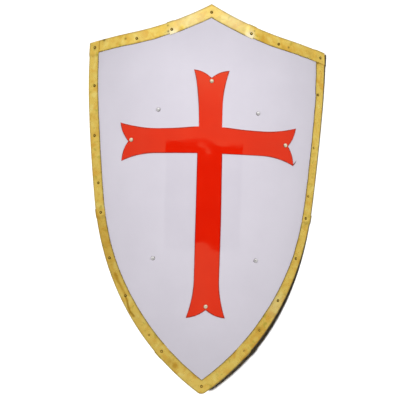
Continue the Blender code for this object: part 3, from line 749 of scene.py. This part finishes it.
def arm(half_bar, half_end, length, start, turn, skew=0.0, droop=0.0):
    """Outline of one arm of the cross, clockwise, turned to point its way from the cross's middle.

    Its long edges are straight and then flare to the tips. The lobes beside the notch are a little full.
    """
    flare_start = length - FLARE_LENGTH
    half = [Vector((along, half_bar)) for along in spaced(start, flare_start, PANEL_STEP)[:-1]]
    for along in spaced(flare_start, length, FLARE_LENGTH / 20):
        share = (along - flare_start) / FLARE_LENGTH
        half.append(Vector((along, half_bar + (half_end - half_bar) * share**2)))
    tip, notch = Vector((length, half_end)), Vector((length - NOTCH_DEPTH, 0.0))
    across = (tip - notch).orthogonal().normalized()
    bulge = -across if across.x < 0 else across
    for share in spaced(0.0, 1.0, 1 / 12)[1:-1]:
        half.append(tip.lerp(notch, share) + bulge * NOTCH_FULLNESS * 4 * share * (1 - share))
    points = half + [notch] + [Vector((point.x, -point.y)) for point in reversed(half)]
    for point in points:
        share = max(0.0, (point.x - length + FLARE_LENGTH) / FLARE_LENGTH) ** 2
        point.x += skew * share * point.y / half_end
        point.y -= droop * share
    return [Matrix.Rotation(turn, 2) @ point for point in points]


def bow(bend, v):
    """How far an arm's edge bows out at a height."""
    depth, middle, spread = bend
    return depth * math.exp(-(((v - middle) / spread) ** 2))


def hand_cut(point):
    """Moves a point of the even cross to where the hand-cut one has it."""
    u, v = point
    moved = Vector(point)
    along = (abs(u) - TOP_ARM_HALF_BAR) / BAR_RISE_LENGTH
    if abs(v - CROSS_HALF_BAR) < 0.004 and along > -0.2:
        moved.y += BAR_RISE * math.exp(-(max(along, 0.0) ** 2))
    if u < -CROSS_HALF_BAR:
        moved.y -= LEFT_ARM_DROP * min(1.0, (-u - CROSS_HALF_BAR) / LEFT_ARM_DROP_LENGTH)
    if u < 0 and v > CROSS_HALF_BAR + ARM_START:
        moved.x -= bow(TOP_ARM_BOW, v)
    if u > 0 and v < -CROSS_HALF_BAR - ARM_START:
        moved.x += bow(LOW_ARM_BOW, v)
    return moved


def cross_outline():
    """Closed flat outline of the cross."""
    up, right, down, left = math.pi / 2, 0.0, -math.pi / 2, math.pi
    side = (CROSS_HALF_BAR, SIDE_ARM_HALF_END, SIDE_ARM_LENGTH, CROSS_HALF_BAR)
    points = arm(TOP_ARM_HALF_BAR, TOP_ARM_HALF_END, TOP_ARM_LENGTH, CROSS_HALF_BAR, up)
    points += arm(*side, right, SIDE_ARM_SKEW, SIDE_ARM_DROOP)[1:]
    points += arm(CROSS_HALF_BAR, LOW_ARM_HALF_END, LOW_ARM_LENGTH, CROSS_HALF_BAR, down)[1:]
    points += arm(*side, left, -SIDE_ARM_SKEW, -SIDE_ARM_DROOP)[1:-1]
    return [hand_cut(point) + Vector((CROSS_OFFSET, CROSS_HEIGHT)) for point in points]


def cross_relief(u, v):
    """Height of the cross's sheet: it sits on the plate, a little wavy, with small bulges near its middle."""
    return GAP + CROSS_LIFT + waves(CROSS_WAVES, u, v) + spots_at(CROSS_BULGES, u, v)


def add_plate(front, back):
    mesh = cut_sheet("plate", rim_outline(0.004), PANEL_STEP, plate_relief, PLATE_BORDER)
    plate = finish_piece("painted_plate", mesh, front, "plate_paint", "shield_plate")
    mesh.materials.append(back)
    solidify(plate, PLATE_THICKNESS, -1.0, 0.0002)
    plate.modifiers["thickness"].material_offset = 1


def add_cross(material):
    mesh = cut_sheet("cross", cross_outline(), PANEL_STEP, cross_relief, CROSS_BORDER)
    cross = finish_piece("painted_cross", mesh, material, "cross_paint", "cross")
    solidify(cross, CROSS_SHEET, 1.0, 0.0003)


def add_burr(material):
    """Burr that the shears left at the lower tip of the cross's right arm."""
    start, end = (Vector(spot) for spot in BURR)
    across = (end - start).orthogonal().normalized()
    rows = []
    for share in spaced(0.0, 1.0, 0.125):
        middle = start.lerp(end, share) - BURR_BOW * math.sin(math.pi * share) * across
        half = BURR_WIDTH / 2 * (1.0 - BURR_TAPER * share)
        edges = [middle + side * half * across for side in (-1, 1)]
        rows.append([SHIELD @ place(*edge, 2 * GAP + BURR_LIFT * share) for edge in edges])
    burr = finish_piece("cross_burr", grid_mesh("burr", rows), material, "cross_paint")
    solidify(burr, CROSS_SHEET / 2, 0.0, 0.00012)


# Rivets and washers


def dome(radius, height, top, count=8):
    """Profile of a dome from its crown down to its rim."""
    turns = [math.pi / 2 * k / count for k in range(count + 1)]
    return [(radius * math.sin(turn), top + height * math.cos(turn)) for turn in turns]


def add_edge_rivets(material):
    radius, height = EDGE_HEAD
    tail, tail_height = EDGE_TAIL
    sink = DIMPLE_DEPTH * 0.8
    for name, (spot, layers) in EDGE_RIVETS.items():
        top = GAP + EDGING_SHEET + LAP_LIFT * (layers - 1)
        under = -PLATE_THICKNESS - top
        end = under - tail_height
        profile = dome(radius * 0.85, height, top - sink)
        profile += [(radius * 1.25, top - sink * 0.4), (radius * 1.25, top - sink * 0.8)]
        profile += [(SHANK_RADIUS, top - sink), (SHANK_RADIUS, under)]
        profile += [(tail, under), (tail * 0.8, end), (0.0, end)]
        finish_piece("brass_" + name, turned(name, profile, seat(*spot)), material, "edging_brass", name)


def add_dome_rivets(cross_material, strap_material):
    back = -PLATE_THICKNESS - GAP
    strap_under = back - STRAP_THICKNESS - GAP - WASHER[1] - GAP
    cross_top = 2 * GAP + CROSS_SHEET
    rivets = [(name, spot, cross_top, back, cross_material) for name, spot in CROSS_RIVETS.items()]
    for name, spot in STRAP_RIVETS.items():
        rivets.append(("strap_rivet_" + name, spot, GAP, strap_under, strap_material))
    for name, spot, top, under, material in rivets:
        profile = dome(*DOME_HEAD, top)
        profile += [(DOME_HEAD[0] * 0.95, top - GAP), (SHANK_RADIUS, top - GAP), (SHANK_RADIUS, under)]
        profile += dome(DOME_TAIL[0], -DOME_TAIL[1], under, 6)[::-1]
        finish_piece("dome_" + name, turned(name, profile, seat(*spot)), material, "dome_steel", name)


def add_washers(material):
    radius, thickness = WASHER
    half, bevel = thickness / 2, 0.0002
    middle = -PLATE_THICKNESS - GAP - STRAP_THICKNESS - GAP - half
    hole, inner = SHANK_RADIUS + GAP, radius - bevel
    profile = [(hole, half), (inner, half), (radius, half - bevel), (radius, bevel - half)]
    profile += [(inner, -half), (hole, -half), (hole, half)]
    for name, spot in STRAP_RIVETS.items():
        mesh = turned("washer_" + name, profile, seat(*spot, middle))
        finish_piece("steel_washer_" + name, mesh, material, "dome_steel", "washer_" + name)


# Straps

STRAP_BOW_POINTS = 16
STITCH_LENGTH = 0.0042
STITCH_PITCH = 0.006
STITCH_INSET = 0.0035
STITCH_RADIUS = 0.00045


def strap_path(rivet_reach):
    """Upper face of a strap across the back, as (x, z) from left to right: tab, bow, flat, bow and tab."""
    under = -PLATE_THICKNESS - GAP
    tab_end = rivet_reach - STRAP_TAB
    right = [place(u, 0.0, under).xz for u in spaced(rivet_reach + STRAP_TAB, tab_end, STRAP_TAB / 4)]
    lean = tab_end / BEND_RADIUS
    start, end = right[-1].copy(), Vector((STRAP_HALF_FLAT, -PLATE_THICKNESS - STRAP_BOW))
    leave = start + STRAP_EASE * Vector((-math.cos(lean), math.sin(lean)))
    arrive = end + Vector((STRAP_EASE, 0.0))
    for t in spaced(0.0, 1.0, 1 / STRAP_BOW_POINTS)[1:]:
        near = start * (1 - t) ** 3 + leave * 3 * t * (1 - t) ** 2
        right.append(near + arrive * 3 * t**2 * (1 - t) + end * t**3)
    flat = [Vector((x, end.y)) for x in spaced(end.x, -end.x, 0.004)[1:-1]]
    return [Vector((-x, z)) for x, z in right] + flat[::-1] + right[::-1]


def path_frames(path, pitch):
    """Points and headings at an even pitch along a path."""
    lengths = [0.0]
    for a, b in zip(path, path[1:]):
        lengths.append(lengths[-1] + (b - a).length)
    frames = []
    for run in spaced(pitch, lengths[-1] - pitch, pitch):
        k = max(index for index, length in enumerate(lengths[:-1]) if length <= run)
        share = (run - lengths[k]) / (lengths[k + 1] - lengths[k])
        frames.append((path[k].lerp(path[k + 1], share), (path[k + 1] - path[k]).normalized()))
    return frames


def add_stitches(name, path, height, material):
    """Two rows of stitches along the strap, on both of its faces."""
    bm = bmesh.new()
    for point, heading in path_frames(path, STITCH_PITCH):
        across = Vector((-heading.y, heading.x))
        for depth in (0.0, STRAP_THICKNESS):
            spot = point - across * depth
            for side in (-1, 1):
                v = height + side * (STRAP_WIDTH / 2 - STITCH_INSET)
                angle = math.atan2(heading.y, heading.x)
                matrix = Matrix.Translation((spot.x, v, spot.y)) @ Matrix.Rotation(-angle, 4, "Y")
                scale = Matrix.Diagonal((STITCH_LENGTH / 2, STITCH_RADIUS * 1.2, STITCH_RADIUS, 1.0))
                bmesh.ops.create_icosphere(bm, subdivisions=2, radius=1.0, matrix=SHIELD @ matrix @ scale)
    finish_piece(name, mesh_from(name, bm), material, "strap_leather")


def add_straps(leather, thread):
    for name, (height, reach) in STRAPS.items():
        path = strap_path(reach)
        rows = []
        for x, z in path:
            across = [height + STRAP_WIDTH * (k / 12 - 0.5) for k in range(13)]
            sag = [0.0004 * ripple(x, v, 0.03, 11.0) for v in across]
            rows.append([SHIELD @ Vector((x, v, z - dip)) for v, dip in zip(across, sag)])
        mesh = grid_mesh("strap_" + name, rows)
        strap = finish_piece("leather_strap_" + name, mesh, leather, "strap_leather", "strap_" + name)
        solidify(strap, STRAP_THICKNESS, -1.0, 0.0008)
        add_stitches("stitches_" + name, path, height, thread)


# Materials


class Nodes:
    """The nodes of a material or a world, with short calls that add to them."""

    def __init__(self, tree, clamp=False):
        self.nodes = tree.nodes
        self.links = tree.links
        self.clamp = clamp

    def feed(self, socket, value):
        """Gives a socket a value or another node's output."""
        if isinstance(value, bpy.types.NodeSocket):
            self.links.new(value, socket)
        else:
            socket.default_value = value

    def add(self, kind, settings=(), **inputs):
        """Adds a node with its settings and inputs, each named or, like _0, numbered."""
        node = self.nodes.new("ShaderNode" + kind)
        for setting, value in dict(settings).items():
            setattr(node, setting, value)
        for name, value in inputs.items():
            socket = int(name[1:]) if name[0] == "_" else name.replace("_", " ")
            self.feed(node.inputs[socket], value)
        return node

    def maths(self, how, one, other):
        settings = {"operation": how, "use_clamp": self.clamp and how == "ADD"}
        return self.add("Math", settings, _0=one, _1=other).outputs[0]

    def times(self, one, other):
        return self.maths("MULTIPLY", one, other)


class Shader(Nodes):
    """A node material being built, with its Principled shader."""

    def __init__(self, name, **values):
        self.material = bpy.data.materials.new(name)
        self.material.use_nodes = True
        super().__init__(self.material.node_tree, clamp=True)
        self.surface = self.nodes["Principled BSDF"]
        for socket, value in values.items():
            self.set(socket.replace("_", " "), value)

    def set(self, socket, value):
        self.feed(self.surface.inputs[socket], value)

    def where(self, stretch=(1.0, 1.0, 1.0)):
        """The piece's own coordinates, stretched."""
        spot = self.add("TexCoord").outputs["Object"]
        return self.add("Mapping", Vector=spot, Scale=stretch).outputs["Vector"]

    def noise(self, scale, detail=3.0, stretch=(1.0, 1.0, 1.0), **inputs):
        node = self.add("TexNoise", Vector=self.where(stretch), Scale=scale, Detail=detail, **inputs)
        return node.outputs["Fac"]

    def mark(self, name):
        """A mask that the mesh carries at its points."""
        return self.add("Attribute", {"attribute_name": name}).outputs["Fac"]

    def ramp(self, value, *stops):
        """Value looked up in (position, grey or colour) stops."""
        node = self.add("ValToRGB", Fac=value)
        elements = node.color_ramp.elements
        for position, colour in stops[2:]:
            elements.new(position)
        for element, (position, colour) in zip(elements, sorted(stops)):
            element.position = position
            element.color = (*(colour if isinstance(colour, tuple) else (colour,) * 3), 1.0)
        return node.outputs["Color"]

    def patches(self, scale, detail, *stops, **inputs):
        """Noise looked up in such stops."""
        return self.ramp(self.noise(scale, detail, **inputs), *stops)

    def along(self, *stops):
        """Way along the shield looked up in such stops, from 0 half a metre below its middle to 1 above."""
        spot = self.add("SeparateXYZ", Vector=self.where())
        return self.ramp(self.maths("ADD", spot.outputs["Y"], 0.5), *stops)

    def blend(self, share, one, other, how="MIX"):
        """One colour blended towards the other."""
        node = self.add("Mix", {"data_type": "RGBA", "blend_type": how}, _0=share)
        for socket, value in ((node.inputs[6], one), (node.inputs[7], other)):
            self.feed(socket, (*value, 1.0) if isinstance(value, tuple) else value)
        return node.outputs[2]

    def bump(self, height, distance, strength):
        """Bump from a height, over the bumps that are there."""
        normal = self.surface.inputs["Normal"]
        below = {"Normal": link.from_socket for link in normal.links}
        node = self.add("Bump", Height=height, Distance=distance, Strength=strength, **below)
        self.feed(normal, node.outputs["Normal"])

    def finish(self, tone, rough, *bumps):
        """The material, given its tone, its roughness (as for patches, or an output) and bumps of noise."""
        self.set("Base Color", tone)
        if rough:
            self.set("Roughness", self.patches(*rough) if isinstance(rough, tuple) else rough)
        for noise_inputs, distance, strength in bumps:
            self.bump(self.noise(*noise_inputs), distance, strength)
        return self.material


BRASS_POLISH_AND_HIGHLIGHT = (1.00, 0.92, 0.62)
BRASS_BRIGHT = (0.96, 0.76, 0.21)
BRASS_GOLD = (0.9, 0.645, 0.135)
BRASS_TAN = (0.83, 0.5, 0.08)
BRASS_OLIVE = (0.6, 0.47, 0.07)
BRASS_TARNISH = (0.56, 0.3, 0.025)
BRASS_DIRT_AND_SHADE = (0.05, 0.03, 0.01)
WHITE_PAINT = (0.615, 0.598, 0.66)
WHITE_SHADE = (0.59, 0.573, 0.635)
RED_PAINT = (0.69, 0.01, 0.0007)
RED_SHADE = (0.655, 0.008, 0.0005)
RED_EDGE = (0.34, 0.006, 0.002)
BACK_PAINT = (0.52, 0.51, 0.55)
BACK_SHADE = (0.4, 0.39, 0.42)
BACK_DUST = (0.34, 0.31, 0.28)
TORN_STEEL = (0.16, 0.008, 0.006)
TORN_SHADE = (0.05, 0.004, 0.004)
STEEL = ((0.9, 0.89, 0.89), (0.66, 0.64, 0.63))
CREAM = ((0.97, 0.88, 0.66), (0.8, 0.66, 0.44))
STEEL_DIRT_AND_SHADE = (0.06, 0.05, 0.045)
LEATHER_LIGHT = (0.135, 0.066, 0.032)
LEATHER_DARK = (0.06, 0.028, 0.014)
THREAD_LIGHT = (0.62, 0.52, 0.36)
THREAD_DARK = (0.42, 0.33, 0.2)


def brass_material():
    brass = Shader("sheet_brass", Metallic=1.0)
    stops = (0.3, BRASS_TAN), (0.46, BRASS_GOLD), (0.56, BRASS_GOLD), (0.72, BRASS_BRIGHT)
    tone = brass.patches(48, 1.5, *stops, Roughness=0.4, Distortion=0.6)
    tone = brass.blend(brass.patches(80, 1.5, (0.52, 0.0), (0.72, 0.7), Distortion=0.4), tone, BRASS_TAN)
    tone = brass.blend(brass.patches(90, 1.5, (0.58, 0.0), (0.75, 0.8), Distortion=0.6), tone, BRASS_OLIVE)
    # Tarnish, and lighter polish with a painted highlight, from the mesh's mark
    age_and_highlight = brass.mark("ageing_and_highlight")
    worn = brass.patches(240, 3.0, (0.3, 0.7), (0.65, 1.0))
    for sign, colour in ((1.0, BRASS_TARNISH), (-1.0, BRASS_POLISH_AND_HIGHLIGHT)):
        share = brass.ramp(brass.times(age_and_highlight, sign), (0.05, 0.0), (1.0, 1.0))
        tone = brass.blend(brass.times(share, worn), tone, colour)
    # Grime and painted shade, from the mesh's mark
    dirt_and_shade = brass.times(brass.mark("grime_and_shade"), brass.patches(420, 3.0, (0.25, 0.45), (0.6, 1.0)))
    rough = brass.patches(120, 4.0, (0.3, 0.22), (0.7, 0.42), Roughness=0.7)
    rough = brass.maths("ADD", rough, brass.times(dirt_and_shade, 0.35))
    bumps = ((900, 2.0, (1.0, 0.12, 1.0)), 0.00003, 0.5), ((70, 1.5), 0.0005, 0.7)
    return brass.finish(brass.blend(dirt_and_shade, tone, BRASS_DIRT_AND_SHADE), rough, *bumps)


def head_brass_material():
    """Brass of the small rivets, with dirt and painted shade round the head, and less so near the shield's
    tip.
    """
    brass = Shader("rivet_brass", Metallic=1.0)
    tone = brass.patches(600, 2.0, (0.35, BRASS_TAN), (0.65, BRASS_GOLD))
    # Dirt and painted shade: the head darkens towards its rim
    rim = brass.ramp(brass.mark("reach"), (0.2, 0.0), (0.58, 1.0))
    dirt_and_shade = brass.times(rim, brass.patches(300, 2.0, (0.3, 0.75), (0.6, 1.0)))
    dirt_and_shade = brass.times(dirt_and_shade, brass.along((0.19, 0.62), (0.225, 1.0)))
    rough = brass.maths("ADD", dirt_and_shade, 0.32)
    return brass.finish(brass.blend(dirt_and_shade, tone, BRASS_DIRT_AND_SHADE), rough, ((1500, 2.0), 0.00004, 0.6))


def enamel(paint, tone, scale):
    """The paint with its tone, a high gloss and a faint orange peel."""
    return paint.finish(tone, (scale, 3.0, (0.3, 0.03), (0.7, 0.06)), ((330, 2.0), 0.00002, 0.35))


def white_paint():
    paint = Shader("white_enamel", IOR=1.5)
    tone = paint.patches(9, 5.0, (0.35, WHITE_SHADE), (0.65, WHITE_PAINT), Roughness=0.6)
    # Painted shade: the paint is darker towards the tip and towards the peak
    painted_end_shade = paint.along((0.1, 0.92), (0.26, 1.0), (0.76, 1.0), (0.85, 0.93))
    return enamel(paint, paint.blend(1.0, tone, painted_end_shade, "MULTIPLY"), 40)


def red_paint():
    paint = Shader("red_enamel", IOR=1.5, Specular_Tint=(0.9, 1.0, 0.48, 1.0))
    tone = paint.patches(14, 4.0, (0.35, RED_SHADE), (0.65, RED_PAINT))
    edge = paint.ramp(paint.mark("edge"), (0.1, 0.0), (0.45, 1.0))
    return enamel(paint, paint.blend(edge, tone, RED_EDGE), 60)


def back_paint():
    paint = Shader("back_paint")
    tone = paint.patches(18, 6.0, (0.3, BACK_SHADE), (0.7, BACK_PAINT), Roughness=0.65)
    dust = paint.patches(240, 4.0, (0.55, 0.0), (0.75, 0.35), Roughness=0.7)
    rough = (60, 4.0, (0.3, 0.42), (0.7, 0.62))
    return paint.finish(paint.blend(dust, tone, BACK_DUST), rough, ((520, 3.0), 0.00005, 0.5))


def torn_paint():
    paint = Shader("torn_edge", Roughness=0.5)
    tone = paint.patches(800, 2.0, (0.35, TORN_SHADE), (0.65, TORN_STEEL))
    return paint.finish(tone, None, ((900, 3.0), 0.0001, 0.5))


def rivet_material(name, light, dark):
    steel = Shader(name, Metallic=1.0)
    tone = steel.patches(500, 3.0, (0.35, dark), (0.62, light))
    # Dirt and painted shade round the dome's rim, where it meets the face
    rim = steel.ramp(steel.mark("reach"), (0.72, 0.0), (1.0, 0.85))
    rough = (700, 2.0, (0.3, 0.22), (0.7, 0.42))
    return steel.finish(steel.blend(rim, tone, STEEL_DIRT_AND_SHADE), rough, ((1400, 2.0), 0.00004, 0.5))


def leather_material():
    leather = Shader("strap_leather")
    tone = leather.patches(70, 5.0, (0.3, LEATHER_DARK), (0.7, LEATHER_LIGHT), Roughness=0.65)
    cells = leather.add("TexVoronoi", {"feature": "DISTANCE_TO_EDGE"}, Vector=leather.where(), Scale=900.0)
    leather.bump(leather.ramp(cells.outputs["Distance"], (0.0, 0.0), (0.12, 1.0)), 0.00012, 0.7)
    return leather.finish(tone, (200, 3.0, (0.3, 0.48), (0.7, 0.72)), ((90, 4.0), 0.0003, 0.4))


def thread_material():
    thread = Shader("waxed_thread", Roughness=0.7)
    tone = thread.patches(900, 2.0, (0.3, THREAD_DARK), (0.7, THREAD_LIGHT))
    return thread.finish(tone, None, ((3500, 1.0, (1.0, 0.2, 1.0)), 0.0001, 0.6))


def floor_material():
    glow = {"Emission_Color": (1.0, 1.0, 1.0, 1.0), "Emission_Strength": FLOOR_GLOW}
    floor = Shader("studio_floor", Roughness=0.9, Specular_IOR_Level=0.0, **glow)
    return floor.finish(floor.patches(3, 2.0, (0.3, 0.93), (0.7, 0.95)), None)


# Studio

PICTURE_WIDTH = 400
FOCAL_PIXELS = 730.0
CAMERA_DISTANCE = 1.5
CAMERA_AZIMUTH = -4.13
CAMERA_ELEVATION = -2.7
CAMERA_ROLL = 1.56
AIM_PIXEL = (206.61, 197.15)
SENSOR_WIDTH = 36.0
FLOOR_GLOW = 0.01
SKY_TONE = (1.0, 0.995, 0.99, 1.0)
SKY_SEEN = 0.95
SKY_STRENGTH = 0.85
SKY_RISE = 0.55
SKY_RISE_BETWEEN = (-0.35, 0.1)
SKY_FALL = 0.2
SKY_CLOUDS = 0.45
SKY_BOX = 0.3
SKY_BOX_EDGE = (0.12, 0.24)
SKY_GLOW = 0.5
SKY_GLOW_EDGES = ((0.1, 0.15), (0.16, 0.215))
CEILING = {"size": (2.4, 0.9), "spot": (0.0, 0.14, 1.15), "power": 22.0, "color": (1.0, 0.97, 0.97)}
TOP_BOX = {"size": (1.2, 0.5), "spot": (0.0, 0.85, 1.00), "power": 0.7, "color": (0.88, 0.95, 1.4)}
KEY_STRENGTH = 0.45
KEY_SOFTNESS = 6.0
KEY_LEAN = (-0.18, 0.14)
FLOOR_KEY_STRENGTH = 4.4
FLOOR_KEY_SOFTNESS = 7.0
FLOOR_KEY_LEAN = (-0.54, -0.01)
CARD_TONE = (0.02, 0.02, 0.02, 1.0)
CARD_HEIGHT = 1.0
CARD_SIZE = (0.98, 0.3735)
CARD_MIDDLE = (0.04, 0.052)


def add_camera():
    """Camera over the lying shield, at the photograph's distance, angle and framing."""
    azimuth, elevation, roll = (math.radians(a) for a in (CAMERA_AZIMUTH, CAMERA_ELEVATION, CAMERA_ROLL))
    turns = ((azimuth, "Y"), (-elevation, "X"), (roll, "Z"))
    azimuth_turn, elevation_turn, roll_turn = (Matrix.Rotation(angle, 4, axis) for angle, axis in turns)
    axes = azimuth_turn @ elevation_turn @ roll_turn
    data = bpy.data.cameras.new("camera")
    data.sensor_width = SENSOR_WIDTH
    data.lens = FOCAL_PIXELS / PICTURE_WIDTH * SENSOR_WIDTH
    data.shift_x = 0.5 - AIM_PIXEL[0] / PICTURE_WIDTH
    data.shift_y = AIM_PIXEL[1] / PICTURE_WIDTH - 0.5
    camera = add_object("camera", data)
    camera.matrix_world = SHIELD @ axes @ Matrix.Translation((0.0, 0.0, CAMERA_DISTANCE))
    bpy.context.scene.camera = camera


def add_stage_plane(name, material, size, location):
    bm = bmesh.new()
    bmesh.ops.create_grid(bm, x_segments=1, y_segments=1, size=0.5)
    plane = add_object(name, mesh_from(name, bm))
    plane.data.materials.append(material)
    plane.scale = (*size, 1.0)
    plane.location = location
    return plane


def add_card():
    """Dark card over the shield that only its gloss sees."""
    black = Shader("card", Roughness=1.0, Base_Color=CARD_TONE)
    spot = SHIELD @ Vector((*CARD_MIDDLE, CARD_HEIGHT))
    card = add_stage_plane("dark_card", black.material, CARD_SIZE, spot)
    for seen_by in ("camera", "diffuse", "shadow", "transmission"):
        setattr(card, "visible_" + seen_by, False)


def add_sky():
    """World that lights glossy faces only, brighter over the peak, darker low down, with soft clouds."""
    world = bpy.data.worlds.new("studio")
    world.use_nodes = True
    world.cycles_visibility.diffuse = False
    sky = Nodes(world.node_tree)
    plus, less, times, at_least, at_most = (
        partial(sky.maths, how) for how in ("ADD", "SUBTRACT", "MULTIPLY", "MAXIMUM", "MINIMUM")
    )
    way = sky.add("TexCoord").outputs["Generated"]
    split = sky.add("SeparateXYZ", Vector=way).outputs
    clouds = sky.add("TexNoise", Vector=way, Scale=5.0).outputs["Fac"]
    y, aside = split["Y"], sky.maths("POWER", sky.maths("ABSOLUTE", split["X"], 0.0), 2.0)

    def rise(edge, height):
        """0 below the edge's lower y and the height above its upper one."""
        ends = {"From_Min": edge[0], "From_Max": edge[1], "To_Max": height}
        return sky.add("MapRange", {"interpolation_type": "SMOOTHSTEP"}, Value=y, **ends).outputs["Result"]

    low, high = SKY_RISE_BETWEEN
    level = plus(SKY_STRENGTH, times(at_most(at_least(y, low), high), SKY_RISE))
    level = plus(level, times(rise(SKY_BOX_EDGE, SKY_BOX), less(1.0, aside)))
    glow = less(*(rise(edge, SKY_GLOW) for edge in SKY_GLOW_EDGES))
    level = plus(level, times(glow, at_least(less(1.0, times(aside, 4.0)), 0.0)))
    level = less(level, times(aside, SKY_FALL))
    level = plus(level, times(less(clouds, 0.5), SKY_CLOUDS))
    seen = sky.add("LightPath").outputs["Is Camera Ray"]
    gloss = times(at_least(level, 0.1), less(1.0, seen))
    background = sky.nodes["Background"].inputs
    sky.feed(background["Strength"], plus(gloss, times(seen, SKY_SEEN)))
    sky.feed(background["Color"], SKY_TONE)
    bpy.context.scene.world = world


def add_lamp(name, kind, power, way, link_state, **values):
    """Lamp towards a way from the shield's middle, that lights only the floor or all but the floor."""
    data = bpy.data.lights.new(name, kind)
    data.energy = power
    for key, value in values.items():
        setattr(data, key, value)
    lamp = add_object(name, data)
    lamp.rotation_mode = "QUATERNION"
    lamp.rotation_quaternion = Vector(way).to_track_quat("Z", "Y")
    lamp.visible_glossy = False
    receivers = bpy.data.collections.new(name + "_receivers")
    receivers.objects.link(bpy.data.objects["floor"])
    lamp.light_linking.receiver_collection = receivers
    receivers.collection_objects[0].light_linking.link_state = link_state
    return lamp


def add_sun(name, strength, softness, lean, link_state):
    add_lamp(name, "SUN", strength, (*lean, 1.0), link_state, angle=math.radians(softness))


def add_softbox(name, size, spot, power, color):
    box = {"shape": "RECTANGLE", "size": size[0], "size_y": size[1], "color": color}
    add_lamp(name, "AREA", power, spot, "EXCLUDE", **box).location = spot


def add_lights():
    add_sky()
    add_sun("floor_key", FLOOR_KEY_STRENGTH, FLOOR_KEY_SOFTNESS, FLOOR_KEY_LEAN, "INCLUDE")
    add_sun("key", KEY_STRENGTH, KEY_SOFTNESS, KEY_LEAN, "EXCLUDE")
    add_softbox("ceiling", **CEILING)
    add_softbox("top_box", **TOP_BOX)


def set_picture():
    view = bpy.context.scene.view_settings
    view.view_transform = "Standard"
    view.look = "None"


steel = rivet_material("rivet_steel", *STEEL)
cream = rivet_material("rivet_cream", *CREAM)
add_plate(white_paint(), back_paint())
add_cross(red_paint())
add_burr(torn_paint())
add_edging(brass_material())
add_edge_rivets(head_brass_material())
add_dome_rivets(cream, steel)
add_washers(steel)
add_straps(leather_material(), thread_material())
add_stage_plane("floor", floor_material(), (8.0, 8.0), (0.0, 0.0, 0.0))
add_card()
add_camera()
add_lights()
set_picture()
